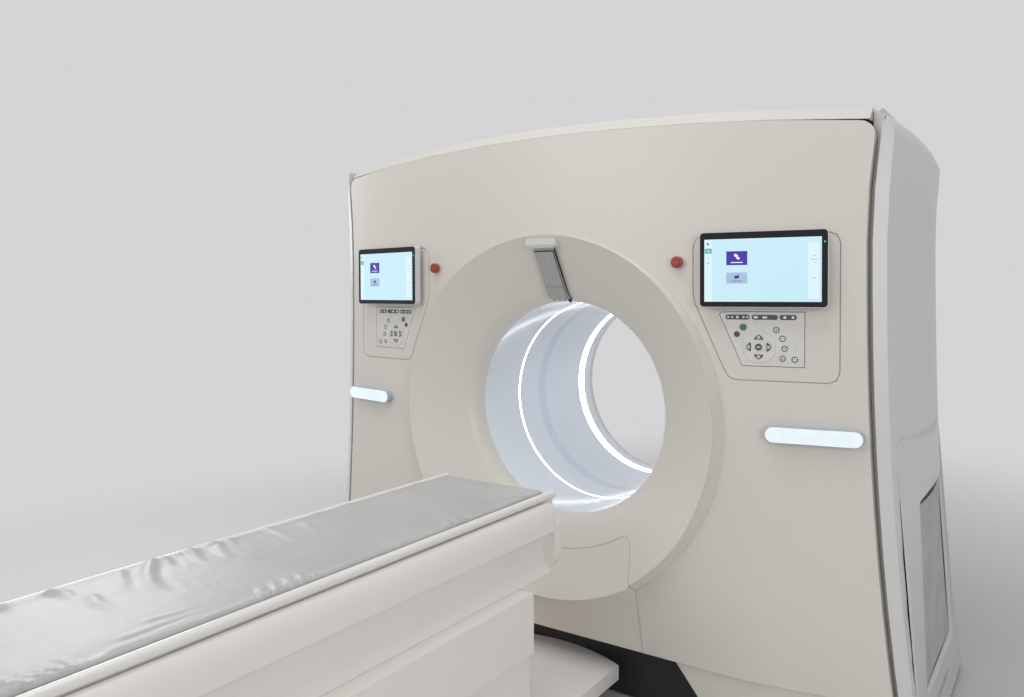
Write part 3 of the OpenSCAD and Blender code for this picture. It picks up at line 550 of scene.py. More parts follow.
COVER = Moulded("cover_warm_white", (0.68, 0.64, 0.585))
SIDE = Moulded("cover_cool_white", (0.65, 0.64, 0.622), rough=0.33)
ROOF = Moulded("cover_roof", (0.62, 0.59, 0.55))
TABLE_COVER = Moulded("table_cover_white", (0.81, 0.772, 0.73), rough=0.33, soft_edge=0.0014)
CRADLE_SHELL = Moulded("cradle_laminate", (0.79, 0.765, 0.73), rough=0.24, soft_edge=0.0014,
                       coat=0.3)
BORE = Moulded("bore_liner", (0.76, 0.79, 0.84), rough=0.2, dust=0.02, coat=0.4)
BORE_WINDOW = Moulded("bore_window", (0.66, 0.72, 0.80), rough=0.14, dust=0.02, coat=0.5)
BLACK_FRAME = Painted("frame_black", (0.022, 0.022, 0.024), rough=0.55)
GREY_FRAME = Painted("frame_grey", (0.30, 0.31, 0.33), rough=0.45)
MACHINE = Painted("machine_enamel", (0.16, 0.17, 0.19), rough=0.4)
TUBE_HOUSING = Painted("tube_enamel", (0.52, 0.51, 0.47), rough=0.35)
DARK_METAL = Painted("dark_coat", (0.06, 0.063, 0.07), rough=0.42)
DETECTOR = Painted("detector_enamel", (0.10, 0.13, 0.18), rough=0.38)
STEEL = Turned("ground_steel", (0.62, 0.63, 0.65))
LIFT_STEEL = Turned("lift_tube_steel", (0.60, 0.61, 0.63), rough=0.26, streaks=(400.0, 400.0, 3.0))
BRASS = Turned("slip_track_brass", (0.66, 0.50, 0.24), rough=0.3)
FAN_PLASTIC = Membrane("fan_moulding", (0.02, 0.02, 0.022), rough=0.55)
STOP_RED = Membrane("stop_button_red", (0.36, 0.045, 0.035), rough=0.3, soft_edge=0.003)
# Darker copy of the stop button's red: painted shade in the arrow grooves
STOP_GROOVE_SHADE = Membrane("stop_groove_painted_shade", (0.12, 0.02, 0.018), rough=0.4)
KEY_GREY = Membrane("key_dark_plastic", (0.085, 0.085, 0.088), rough=0.5)
KEY_GREEN = Membrane("key_leaf_plastic", (0.06, 0.21, 0.055), rough=0.42)
KEYPAD = Membrane("keypad_front", (0.70, 0.675, 0.645), rough=0.46)
GLYPH = Membrane("glyph_white", (0.82, 0.82, 0.82), rough=0.45, soft_edge=0.0001)
GLYPH_DARK = Membrane("glyph_grey", (0.10, 0.10, 0.11), rough=0.5, soft_edge=0.0001)
SCREEN_BODY = Moulded("screen_housing", (0.62, 0.63, 0.65), rough=0.3, soft_edge=0.002, dust=0.0)
SCREEN_GLASS = Glass("screen_glass", (0.008, 0.008, 0.010))
BAR_FRAME = Moulded("light_bar_frame", (0.42, 0.49, 0.58), rough=0.3, dust=0.0)
BAR_LENS = Glow("light_bar_lens", (0.80, 0.90, 0.95), strength=0.95, body=0.12)
BORE_LAMP = Glow("bore_lamp", (0.93, 0.975, 1.0), strength=4.5, uneven=0.03, body=0.2)
DISPLAY = Banded("display_and_hood", (0.40, 0.40, 0.385), upper=(0.70, 0.675, 0.64), height=1.6135)
# Near-black of the display's top edge line, also used as painted shadow down its right-hand edge
DISPLAY_EDGE_AND_SHADE = Membrane("display_edge_and_painted_shade", (0.015, 0.015, 0.017), rough=0.35, soft_edge=0.0003)
PAD_VINYL = Vinyl("satin_pad_vinyl", (0.47, 0.455, 0.445))
MESH = Painted("perforated_sheet", (0.56, 0.55, 0.53), rough=0.45)
# Near-black sheet behind the perforations: painted shade of the gantry's dark inside
SHADE_BEHIND_MESH = Painted("painted_shade_behind_mesh", (0.035, 0.035, 0.037), rough=0.7)
PAD_FOAM = Foam("foam_in_sleeve", (0.40, 0.41, 0.43))


class Lit(Enum):
    """What a touchscreen shows: colour and strength of each lit field."""

    FIELD = ((0.60, 0.86, 0.97), 0.95)
    PALE = ((0.72, 0.92, 0.985), 0.97)
    VIOLET = ((0.055, 0.03, 0.42), 0.9)
    SKY = ((0.42, 0.56, 0.83), 0.9)
    MINT = ((0.16, 0.58, 0.47), 0.9)
    WHITE = ((0.93, 0.96, 1.0), 0.95)
    INK = ((0.03, 0.035, 0.08), 0.8)
    FAINT = ((0.40, 0.60, 0.70), 0.9)
    LAMP = ((0.02, 0.65, 0.16), 1.3)

    def finish(self) -> Glow:
        """Returns the field's finish.

        Returns:
            A dark panel's pixels, lit.
        """
        colour, strength = self.value
        return Glow(f"lit_{self.name.lower()}", colour, strength=strength, uneven=0.02, period=6.0,
                    body=0.02)


# Mesh helpers


def rounded(centre: Flat, width: float, height: float, radius: float, steps: int = 6) -> list[Flat]:
    """Outline of a rectangle with rounded corners, anticlockwise.

    Args:
        centre: its centre.
        width: full width.
        height: full height.
        radius: corner radius.
        steps: parts of each corner.

    Returns:
        The outline.
    """
    points = []
    for quarter, (sx, sy) in enumerate(((1, 1), (-1, 1), (-1, -1), (1, -1))):
        for i in range(steps + 1):
            angle = math.pi / 2 * (quarter + i / steps)
            points.append((centre[0] + sx * (width / 2 - radius) + radius * math.cos(angle),
                           centre[1] + sy * (height / 2 - radius) + radius * math.sin(angle)))
    return points


def disc(centre: Flat, radius: float, steps: int = 32) -> list[Flat]:
    """Outline of a circle, anticlockwise."""
    return arc(centre, radius, [2 * math.pi * i / steps for i in range(steps)])


def arc(centre: Flat, radius: float, angles: Sequence[float]) -> list[Flat]:
    """Points of an arc at angles in radians."""
    return [(centre[0] + radius * math.cos(a), centre[1] + radius * math.sin(a)) for a in angles]


def moved(outline: Sequence[Flat], centre: Flat, turn: float = 0.0) -> list[Flat]:
    """Turns an outline about the origin, in degrees, then moves it."""
    c, s = math.cos(math.radians(turn)), math.sin(math.radians(turn))
    return [(centre[0] + x * c - y * s, centre[1] + x * s + y * c) for x, y in outline]


class Piece:
    """A mesh in the making, with a finish for each group of faces."""

    def __init__(self, name: str) -> None:
        """Starts an empty piece.

        Args:
            name: the piece's name.
        """
        self.name = name
        self.points: list[Point] = []
        self.faces: list[tuple[int, ...]] = []
        self.marks: list[int] = []
        self.finishes: list[Finish] = []

    def mark(self, finish: Finish) -> int:
        """Returns the number of a finish on this piece.

        Args:
            finish: the finish.

        Returns:
            Its number.
        """
        if finish not in self.finishes:
            self.finishes.append(finish)
        return self.finishes.index(finish)

    def plate(self, outline: Sequence[Flat], mapper: Mapper, low: float, high: float,
              finish: Finish) -> None:
        """Adds a thin plate.

        Args:
            outline: its outline in the mapper's first two coordinates, anticlockwise.
            mapper: turns an outline point and a stand-off into a place.
            low: stand-off of its back, in mm.
            high: stand-off of its front, in mm.
            finish: its finish.
        """
        start, count, mark = len(self.points), len(outline), self.mark(finish)
        self.points += [mapper(u, v, low) for u, v in outline]
        self.points += [mapper(u, v, high) for u, v in outline]
        self.faces.append(tuple(range(start + count, start + 2 * count)))
        self.faces.append(tuple(range(start + count - 1, start - 1, -1)))
        self.faces += [(start + i, start + (i + 1) % count, start + count + (i + 1) % count,
                        start + count + i) for i in range(count)]
        self.marks += [mark] * (count + 2)

    def grid(self, rows: Sequence[Sequence[Point]], finish: Finish, closed: bool = False) -> None:
        """Adds a sheet of quads through rows of points.

        Args:
            rows: rows of as many points each.
            finish: its finish.
            closed: whether each row is a loop.
        """
        start, count, mark = len(self.points), len(rows[0]), self.mark(finish)
        for line in rows:
            self.points += list(line)
        for j in range(len(rows) - 1):
            for i in range(count if closed else count - 1):
                a, b = start + j * count + i, start + j * count + (i + 1) % count
                self.faces.append((a, b, b + count, a + count))
                self.marks.append(mark)

    def make(self, body: str, smooth: bool = False) -> bpy.types.Object:
        """Makes the object.

        Args:
            body: the CAD body that it rides on.
            smooth: whether its faces are shaded smooth.

        Returns:
            The object, riding on its body.
        """
        mesh = bpy.data.meshes.new(self.name)
        mesh.from_pydata(self.points, [], self.faces)
        for finish in self.finishes:
            mesh.materials.append(finish.material())
        mesh.polygons.foreach_set("material_index", self.marks)
        mesh.polygons.foreach_set("use_smooth", [smooth] * len(self.faces))
        mesh.update()
        made = bpy.data.objects.new(self.name, mesh)
        bpy.context.scene.collection.objects.link(made)
        self._face_outwards(mesh)
        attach(made, body)
        LOG.info("%s: %d faces on %s", self.name, len(self.faces), body)
        return made

    @staticmethod
    def _face_outwards(mesh: bpy.types.Mesh) -> None:
        """Turns every face of the mesh outwards.

        Args:
            mesh: the mesh.
        """
        work = bmesh.new()
        work.from_mesh(mesh)
        bmesh.ops.recalc_face_normals(work, faces=work.faces)
        work.to_mesh(mesh)
        work.free()


class SmoothShading:
    """Smooth shading under an edge angle, as a modifier that leaves the mesh as it is."""

    weld = 0.00002

    def __init__(self, angle: float = 32.0) -> None:
        """Builds the node group once.

        Args:
            angle: edges sharper than this, in degrees, stay sharp.
        """
        group = bpy.data.node_groups.new("smooth_by_angle", "GeometryNodeTree")
        group.interface.new_socket("Geometry", in_out="INPUT", socket_type="NodeSocketGeometry")
        group.interface.new_socket("Geometry", in_out="OUTPUT", socket_type="NodeSocketGeometry")
        nodes, links = group.nodes, group.links
        start, end = nodes.new("NodeGroupInput"), nodes.new("NodeGroupOutput")
        merge = nodes.new("GeometryNodeMergeByDistance")
        merge.inputs["Distance"].default_value = self.weld
        turn = nodes.new("GeometryNodeInputMeshEdgeAngle")
        wide = nodes.new("FunctionNodeCompare")
        wide.data_type, wide.operation = "FLOAT", "GREATER_THAN"
        wide.inputs["B"].default_value = math.radians(angle)
        faces = nodes.new("GeometryNodeSetShadeSmooth")
        faces.domain = "FACE"
        edges = nodes.new("GeometryNodeSetShadeSmooth")
        edges.domain = "EDGE"
        edges.inputs["Shade Smooth"].default_value = False
        drop = nodes.new("GeometryNodeRemoveAttribute")
        drop.inputs["Name"].default_value = "custom_normal"
        links.new(start.outputs[0], drop.inputs["Geometry"])
        links.new(drop.outputs["Geometry"], merge.inputs["Geometry"])
        links.new(merge.outputs["Geometry"], faces.inputs[0])
        links.new(faces.outputs[0], edges.inputs[0])
        links.new(turn.outputs["Unsigned Angle"], wide.inputs["A"])
        links.new(wide.outputs[0], edges.inputs["Selection"])
        links.new(edges.outputs[0], end.inputs[0])
        self.group = group

    def apply(self, piece: bpy.types.Object) -> None:
        """Adds the modifier to a piece."""
        piece.modifiers.new("smooth", "NODES").node_group = self.group


# The scanner


@dataclass
class Solids:
    """Finishes of the solids that keep their own shape."""

    finishes: dict[str, Finish] = field(default_factory=lambda: {
        "gantry_base": BLACK_FRAME, "stator_frame": GREY_FRAME, "main_bearing": STEEL,
        "brush_block": DARK_METAL, "power_cabinet": MACHINE, "front_cover": COVER,
        "front_access_panel": COVER, "rear_cover": COVER, "top_cover": ROOF,
        "side_cover_left": SIDE, "side_cover_right": SIDE, "service_panel_left": SIDE,
        "service_panel_right": SIDE, "bore_liner_front": BORE, "bore_liner_rear": BORE,
        "scan_window": BORE_WINDOW, "bore_lights": BORE_LAMP, "status_light_left": BAR_FRAME,
        "status_light_right": BAR_FRAME, "control_panel_left": COVER, "control_panel_right": COVER,
        "touchscreen_left": SCREEN_BODY, "touchscreen_right": SCREEN_BODY, "keypad_left": KEYPAD,
        "keypad_right": KEYPAD, "patient_display": DISPLAY, "rotor_drum": GREY_FRAME,
        "xray_tube": TUBE_HOUSING, "collimator": DARK_METAL, "detector_arc": DETECTOR,
        "generator": MACHINE, "slip_ring": BRASS, "fan_left": FAN_PLASTIC, "fan_right": FAN_PLASTIC,
        "estop_left": STOP_RED, "estop_right": STOP_RED, "table_base": BLACK_FRAME,
        "base_cover": TABLE_COVER, "lift_cylinders": LIFT_STEEL, "lift_rams": LIFT_STEEL,
        "pedestal_skirt": TABLE_COVER, "upper_skirt": TABLE_COVER, "table_frame": GREY_FRAME,
        "table_side_left": TABLE_COVER, "table_side_right": TABLE_COVER,
        "table_end_caps": TABLE_COVER, "carriage": DARK_METAL, "cradle": CRADLE_SHELL,
        "cradle_pad": PAD_FOAM, "pad_cover": PAD_VINYL,
    })

    def dress(self) -> None:
        """Gives each solid its finish and smooth shading."""
        shading = SmoothShading()
        for name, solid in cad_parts.items():
            if name.startswith("key_"):
                finish = KEY_GREEN if "start" in name else KEY_GREY
            else:
                finish = self.finishes[name]
            if not solid.material_slots:
                solid.data.materials.append(None)
            for slot in solid.material_slots:
                slot.link = "OBJECT"
                slot.material = finish.material()
            shading.apply(solid)


class Side(Enum):
    """The two operator sides of the gantry."""

    LEFT = -1
    RIGHT = 1

    @property
    def word(self) -> str:
        """The side's name in node names."""
        return self.name.lower()


@dataclass
class OperatorPanel:
    """Touchscreen, keypad prints, stop button arrows in painted groove shade and light bar lens of
    one side.
    """

    side: Side
    screen: Flat = (781.0, 504.0)
    screen_size: Flat = (384.0, 237.0)
    screen_proud: float = 40.0
    stop: Flat = (513.0, 531.0)
    stop_proud: float = 25.0
    keys: Flat = (766.5, 262.0)
    layout: float = 1.033
    bar: Flat = (931.0, -5.0)
    bar_size: Flat = (276.0, 50.0)
    bar_proud: float = 30.0

    def on_face(self, x: float, z: float, out: float) -> Point:
        """Places a point of the right half, mirrored for the left, on the bowed face."""
        return row(self.side.value * x, bow(x) - out, z)

    def on_glass(self, u: float, v: float, out: float) -> Point:
        """Places a point of the screen, u to the right as it is read, ahead of its glass.

        Args:
            u: to the right, as the screen is read.
            v: up.
            out: ahead of the glass.

        Returns:
            The place.
        """
        turn = math.asin(self.screen[0] / BOW_RADIUS)
        u *= self.side.value
        y = -self.screen_proud - out
        x = self.screen[0] + u * math.cos(turn) - y * math.sin(turn)
        depth = bow(self.screen[0]) + u * math.sin(turn) + y * math.cos(turn)
        return row(self.side.value * x, depth, self.screen[1] + v)

    def on_view(self, u: float, v: float, out: float) -> Point:
        """Places a point of the picture, which is drawn a little smaller than the glass."""
        return self.on_glass(u * self.layout, v * self.layout, out)

    def build(self) -> None:
        """Makes the side's pieces."""
        self._screen()
        self._prints()
        self._key_marks()
        self._stop_mark()
        self._lens()

    def _screen(self) -> None:
        """Glass with rounded corners, the lit field and its plain tiles."""
        width, height = self.screen_size
        glass = Piece(f"screen_glass_{self.side.word}")
        glass.plate(rounded((0, 0), width - 5, height - 5, 11.5, 8), self.on_glass, 0.0, 0.9,
                    SCREEN_GLASS)
        glass.make("gantry")
        shown = Piece(f"screen_view_{self.side.word}")

        def tile(u0: float, v0: float, u1: float, v1: float, lit: Lit, level: int = 1) -> None:
            """Adds a lit rectangle between two corners, on a level over the field."""
            shown.plate([(u0, v0), (u1, v0), (u1, v1), (u0, v1)], self.on_view,
                        0.9, 1.0 + 0.06 * level, lit.finish())

        def mark(outline: Sequence[Flat], lit: Lit, level: int = 3) -> None:
            """Adds a small lit shape."""
            shown.plate(outline, self.on_view, 1.0, 1.0 + 0.06 * level, lit.finish())

        tile(-170, -97, 167, 92, Lit.FIELD, 0)
        tile(-170, -97, -146, 92, Lit.PALE)
        tile(130, -88, 160, 74, Lit.PALE)
        tile(-104, 13, -42, 55, Lit.VIOLET, 2)
        tile(-104, -42, -42, -9, Lit.SKY, 2)
        tile(-169, 49, -147, 65, Lit.MINT, 2)
        mark(moved(rounded((0, 0), 11, 8, 2), (-75.5, 42), -30), Lit.WHITE)
        mark(moved(rounded((0, 0), 9, 7, 2), (-69, 34), -30), Lit.WHITE, 4)
        mark(rounded((-73, 21), 36, 2.6, 1.2), Lit.WHITE)
        mark(rounded((-76, -23), 8, 8, 2), Lit.INK)
        mark(rounded((-69.5, -22), 6, 10, 1.5), Lit.INK, 4)
        mark(rounded((-73, -35), 30, 1.8, 0.8), Lit.INK)
        for place in ((-161, 80), (-158, 77)):
            mark(rounded(place, 4.5, 4, 1), Lit.INK)
        mark(rounded((-158, 57), 7, 2, 0.8), Lit.WHITE)
        mark(rounded((-158, 38), 1.6, 7, 0.7), Lit.FAINT)
        mark(disc((-158, 20), 3.2, 16), Lit.FAINT)
        for place, width_of in (((148, 38), 11), ((147, 26), 22), ((149, 17), 6), ((147, -28), 12)):
            mark(rounded(place, width_of, 2.2, 1.0), Lit.FAINT)
        mark(disc((175.5, 77), 2.6, 20), Lit.LAMP)
        shown.make("gantry")

    def _prints(self) -> None:
        """White symbols on the keypad's strips and round keys, and the key rings."""
        prints = Piece(f"keypad_prints_{self.side.word}")
        strip_out, key_out = 1.5, 1.5

        def dot(outline: Sequence[Flat], out: float, finish: Finish) -> None:
            """Adds a printed shape on a surface that stands out by out."""
            prints.plate(outline, self.on_face, out, out + 0.25, finish)

        bases = [((702.0, 355.0), 74.0), ((784.0, 355.0), 77.0), ((853.0, 355.0), 50.0)]
        for (x, z), width in bases:
            dot(rounded((x, z), width - 0.6, 15.4, 6.8), strip_out, KEY_GREY)
        level = strip_out + 0.25
        for x, shape in ((675, 0), (686, 1), (702, 2), (722, 0), (732, 1), (756, 3), (763, 0),
                         (782, 2), (789, 1), (843, 3), (867, 2)):
            outline = (moved([(-4, -4), (4, 0), (-4, 4)], (x, 355)), rounded((x, 355), 4, 7, 1),
                       moved([(-5, -3.4), (5, -3.4), (2, 4), (-3, 4)], (x, 355)),
                       rounded((x, 355), 9, 8, 2.6))[shape]
            dot(outline, level, GLYPH)
        grey_keys = [(700, 301), (818.4, 316), (836.8, 289.5), (843, 259), (836.8, 228), (872, 226)]
        for number, centre in enumerate(grey_keys):
            dot(disc(centre, 9.2), key_out, KEY_GREY)
            if number:
                dot(disc(centre, 6.2), key_out + 0.25, GLYPH)
            symbol = ([(-3, -3), (3, -3), (3, 3), (-3, 3)],
                      [(-3.4, 0), (0, -3.4), (3.4, 0), (0, 3.4)],
                      [(-3.4, -0.8), (3.4, -0.8), (3.4, 0.8), (-3.4, 0.8)],
                      [(-3, -3), (0, 1), (3, -3), (3, 3), (0, 2.4), (-3, 3)],
                      [(-3.6, -3), (3.6, -3), (0, 4)], [(-4, 0), (1, -3), (1, 3)])[number]
            dot(moved(symbol, centre), key_out + 0.5, KEY_GREY)
        dot(disc(self.keys, 10.6), 4.0, KEY_GREY)
        dot(rounded(self.keys, 12, 3, 1.4), 4.25, GLYPH)
        prints.make("gantry")

    def _key_marks(self) -> None:
        """A white symbol on each arrow key, riding on its key."""
        arrow = [(-6, -3.4), (6, -3.4), (2.2, 4.6), (-2.2, 4.6)]
        hole = [(-2.4, -1.8), (2.4, -1.8), (0, 2.6)]
        for kind, turn in (("up", 0), ("out", 90), ("down", 180), ("in", 270)):
            mark = Piece(f"mark_{kind}_{self.side.word}")
            radians = math.radians(turn)
            centre = (self.keys[0] - 30 * math.sin(radians), self.keys[1] + 30 * math.cos(radians))
            mark.plate(moved(arrow, centre, turn), self.on_face, 4.0, 4.2, GLYPH)
            mark.plate(moved(hole, centre, turn), self.on_face, 4.2, 4.4, KEY_GREY)
            mark.make(f"key_{kind}_{self.side.word}")

    def _stop_mark(self) -> None:
        """Two turned arrows pressed into the real stop button's face, drawn as thin raised marks in
        a darker red that is painted shade in their grooves.
        """
        mark = Piece(f"stop_arrows_{self.side.word}")
        for start in (20, 200):
            sweep = [math.radians(start + 12 * i) for i in range(11)]
            outer, inner = arc(self.stop, 10.5, sweep), arc(self.stop, 8.2, sweep)
            tip = math.radians(start + 138)
            head = [arc(self.stop, r, [a])[0]
                    for r, a in ((12.6, sweep[-1]), (9.3, tip), (6.2, sweep[-1]))]
            # The darker red here is painted shade in the arrows' grooves
            mark.plate(outer + head + inner[::-1], self._on_stop, 0.0, 0.3, STOP_GROOVE_SHADE)
        mark.make(f"estop_{self.side.word}")

    def _on_stop(self, x: float, z: float, out: float) -> Point:
        """Places a point on the stop button's face."""
        return row(self.side.value * x, bow(self.stop[0]) - self.stop_proud - out, z)

    def _lens(self) -> None:
        """The lit capsule lens of the light bar, set into its frame."""
        width, height = self.bar_size
        lens = Piece(f"light_lens_{self.side.word}")
        rings = ((1.5, 0.0), (1.5, 1.6), (2.9, 2.6), (6.0, 3.2))
        loops = [[self.on_face(u, v, self.bar_proud + out) for u, v in
                  rounded(self.bar, width - 2 * inset, height - 2 * inset,
                          height / 2 - 0.5 - inset, 12)]
                 for inset, out in rings]
        lens.grid(loops, BAR_LENS, closed=True)
        start = len(lens.points)
        lens.points += loops[-1]
        lens.faces.append(tuple(range(start, start + len(loops[-1]))))
        lens.marks.append(0)
        lens.make("gantry", smooth=False)


@dataclass
class PatientDisplay:
    """Dark top edge line, a painted shadow along the right-hand edge, and small marks of the
    display over the bore.
    """

    proud: float = 18.0
    half_top: float = 42.0
    half_foot: float = 40.0
    top: float = 594.0
    foot: float = 409.0

    def build(self) -> None:
        """Makes the display's dark top line, its right-hand strip of painted shadow and its small
        marks.
        """
        edge = Piece("display_edges")

        def on_panel(x: float, z: float, out: float) -> Point:
            """Places a point on the panel that lies on the flare."""
            return flare_point(x, z, self.proud + out)

        edge.plate([(-40, 590), (40, 590), (40, 593.5), (-40, 593.5)], on_panel, 0.0, 0.5,
                   DISPLAY_EDGE_AND_SHADE)
        # The right-hand strip and its wall down to the flare are painted shadow of the gap between
        # the display and the flare, in near-black
        taper = (self.half_top - self.half_foot) / (self.top - self.foot)
        rows = [[on_panel(self.half_top + 0.4 - taper * (self.top - z) - w, z, out) for w, out in
                 ((0.0, 1.0 - self.proud), (0.0, 0.5), (2.4, 0.5), (2.4, 0.0))]
                for z in np.linspace(self.foot, self.top, 28)]
        edge.grid(rows, DISPLAY_EDGE_AND_SHADE)
        edge.plate([(-41, 462), (39, 462), (39, 463.2), (-41, 463.2)], on_panel, 0.0, 0.3,
                   GLYPH_DARK)
        for x in (-24, 0, 24):
            edge.plate(disc((x, 420), 3.4, 16), on_panel, 0.0, 0.4, GLYPH_DARK)
        edge.make("gantry")


def flare_point(x: float, z: float, out: float) -> Point:
    """Places a point on the flare's face by its x and z, standing off by out.

    Args:
        x: to the right of the axis, in mm.
        z: above the axis, in mm.
        out: stand-off from the face, in mm.

    Returns:
        The place.
    """
    rim, proud, depth, lip, bore = 640.0, 6.0, 190.0, 90.0, 400.0
    lean = math.atan(0.6053)
    centre = (bore + lip, depth)
    end = (centre[0] - lip * math.sin(lean), centre[1] - lip * math.cos(lean))
    radius = math.hypot(x, z)
    if radius > end[0]:
        share = (rim - radius) / (rim - end[0])
        y = -proud + share * (end[1] + proud)
        along = Vector((end[0] - rim, end[1] + proud)).normalized()
        normal = (along.y * -1, along.x)
    else:
        angle = math.acos(min(1.0, max(-1.0, (centre[0] - radius) / lip)))
        y = centre[1] - lip * math.sin(angle)
        normal = (-math.cos(angle), -math.sin(angle))
    if normal[1] > 0:
        normal = (-normal[0], -normal[1])
    scale = (radius + out * normal[0]) / radius
    return row(x * scale, y + out * normal[1], z * scale)


# Service panels


@dataclass(frozen=True)
class SideForm:
    """The waisted edge of the face and the side cover that bulges behind it, in mm."""

    waist: float = 560.0
    half_waist: float = 1068.0
    rise: float = 385.0
    wider_above: float = 27.0
    fall: float = 1310.0
    wider_below: float = 72.0
    strip: float = 16.0
    step: float = 36.0
    crown: float = 1168.0
    crown_below: float = 28.0
    set_back: float = 24.0

    def edge(self, z: float) -> float:
        """Half width of the face.

        Args:
            z: height above the axis.

        Returns:
            The half width at that height.
        """
        if z > self.waist:
            return self.half_waist + self.wider_above * ((z - self.waist) / self.rise) ** 2
        return self.half_waist + self.wider_below * ((self.waist - z) / self.fall) ** 2.2

    def skin(self, y: float, z: float) -> float:
        """Half width of the side cover, below its shoulder.

        Args:
            y: depth behind the front plane.
            z: height above the axis.

        Returns:
            How far its face stands from the centre line.
        """
        strip = self.edge(z) + self.strip
        foot = strip + self.step
        bulge = self.crown + self.crown_below * (self.waist - z) / self.fall - foot
        start = bow(strip) + self.set_back
        return foot + bulge * math.sin(math.pi * (y - start) / (DEPTH - 2 * start))


@dataclass
class ServicePanel:
    """Panel of a side cover: rolled rim, screw dimple and a recess with a perforated sheet."""

    side: Side
    form: SideForm = SideForm()
    span: Flat = (200.0, 1050.0)
    height: Flat = (-960.0, -15.0)
    corner: float = 40.0
    thick: float = 4.6
    recess_span: Flat = (400.0, 1000.0)
    recess_height: Flat = (-870.0, -240.0)
    recess_corner: float = 16.0
    recess_depth: float = 8.0
    draft: float = 7.0
    border: float = 11.0
    dimple: Flat = (247.0, -44.0)
    dimple_radius: float = 17.0
    rim_width: float = 5.4
    recess_lip: float = 1.6
    pitch: float = 13.0
    hole: float = 4.1
    sheet: float = 1.2

    def on_side(self, y: float, z: float, out: float) -> Point:
        """Places a point on the side, standing off by out."""
        return row(self.side.value * (self.form.skin(y, z) + out), y, z)

    def _box(self, span: Flat, height: Flat, corner: float, inset: float) -> list[Flat]:
        """Outline of a rounded opening or panel, inset on all sides.

        Args:
            span: its depths.
            height: its heights.
            corner: corner radius.
            inset: how far the outline lies inside it.

        Returns:
            The outline.
        """
        centre = (sum(span) / 2, sum(height) / 2)
        return rounded(centre, span[1] - span[0] - 2 * inset, height[1] - height[0] - 2 * inset,
                       max(corner - inset, 3.0), 8)

    def _outline(self, inset: float) -> list[Flat]:
        """The panel's outline, inset."""
        return self._box(self.span, self.height, self.corner, inset)

    def _recess(self, inset: float) -> list[Flat]:
        """The recess's outline, inset."""
        return self._box(self.recess_span, self.recess_height, self.recess_corner, inset)

    def build(self) -> None:
        """Makes the side's pieces."""
        self._panel()
        self._sheet()

    def _rings(self, piece: Piece, steps: Sequence[tuple[list[Flat], float]],
               finish: Finish) -> None:
        """Adds a strip through outlines at given stand-offs."""
        loops = [[self.on_side(y, z, out) for y, z in outline] for outline, out in steps]
        piece.grid(loops, finish, closed=True)

    def _panel(self) -> None:
        """The panel's skin with its rim, the recess walls and the screw dimple."""
        panel = Piece(f"service_skin_{self.side.word}")
        rim = ((-1.2, -self.thick), (-1.2, 0.2), (-0.5, 0.9), (1.6, 1.5), (3.0, 1.4), (4.2, 0.5),
               (self.rim_width, 0.0))
        self._rings(panel, [(self._outline(inset), out) for inset, out in rim], SIDE)
        wall = ((-self.recess_lip, 0.0), (-0.5, -0.4), (0.0, -1.4),
                (self.draft, -self.recess_depth),
                (self.draft + self.border, -self.recess_depth + 0.4),
                (self.draft + self.border, -self.recess_depth))
        self._rings(panel, [(self._recess(inset), out) for inset, out in wall], SIDE)
        bowl = ((1.0, 0.0), (0.96, -0.5), (0.72, -2.6), (0.45, -3.9), (0.3, -4.2))
        self._rings(panel, [(disc(self.dimple, self.dimple_radius * share, 36), out)
                            for share, out in bowl], SIDE)
        screw = ((0.32, -4.2), (0.32, -2.9), (0.26, -2.4), (0.05, -2.3))
        self._rings(panel, [(disc(self.dimple, self.dimple_radius * share, 36), out)
                            for share, out in screw], STEEL)
        self._skin(panel)
        made = panel.make("gantry", smooth=True)
        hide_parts(f"service_panel_{self.side.word}")

    def _skin(self, panel: Piece) -> None:
        """Fills the face between the rim, the recess and the dimple with even triangles.

        Args:
            panel: the piece that gets them.
        """
        loops = [self._outline(self.rim_width), self._recess(-self.recess_lip),
                 disc(self.dimple, self.dimple_radius, 36)]
        points: list[Vector] = []
        edges: list[tuple[int, int]] = []
        for loop in loops:
            start = len(points)
            points += [Vector(point) for point in loop]
            edges += [(start + i, start + (i + 1) % len(loop)) for i in range(len(loop))]
        for y in np.arange(self.span[0] + 18, self.span[1] - 12, 22.0):
            for z in np.arange(self.height[0] + 18, self.height[1] - 12, 34.0):
                if self._on_face(float(y), float(z), 7.0):
                    points.append(Vector((float(y), float(z))))
        places, _, faces, *_ = geometry.delaunay_2d_cdt(points, edges, [], 0, 0.01)
        start, mark = len(panel.points), panel.mark(SIDE)
        panel.points += [self.on_side(place.x, place.y, 0.0) for place in places]
        for face in faces:
            centre = sum((places[i] for i in face), Vector((0, 0))) / len(face)
            if self._on_face(centre.x, centre.y, 0.0):
                panel.faces.append(tuple(start + i for i in face))
                panel.marks.append(mark)

    def _on_face(self, y: float, z: float, margin: float) -> bool:
        """Tells whether a point lies on the skin, clear of its edges by a margin.

        Args:
            y: depth of the point.
            z: height of the point.
            margin: the clearance.

        Returns:
            Whether it does.
        """
        if math.dist((y, z), self.dimple) < self.dimple_radius + margin:
            return False
        return (inside((y, z), self._outline(self.rim_width), margin)
                and not inside((y, z), self._recess(-self.recess_lip), -margin))

    def _sheet(self) -> None:
        """Perforated sheet of staggered round holes, with a near-black sheet behind it as painted
        shade seen through the holes.
        """
        sheet = Piece(f"service_mesh_{self.side.word}")
        level = -self.recess_depth
        bound = self._recess(self.draft + 2.0)
        radius = self.pitch / math.sqrt(3)
        step = self.pitch * math.sqrt(3) / 2
        known: dict[tuple[int, int], int] = {}
        mark = sheet.mark(MESH)
        sides = 12
        angles = [2 * math.pi / sides * k for k in range(sides)]

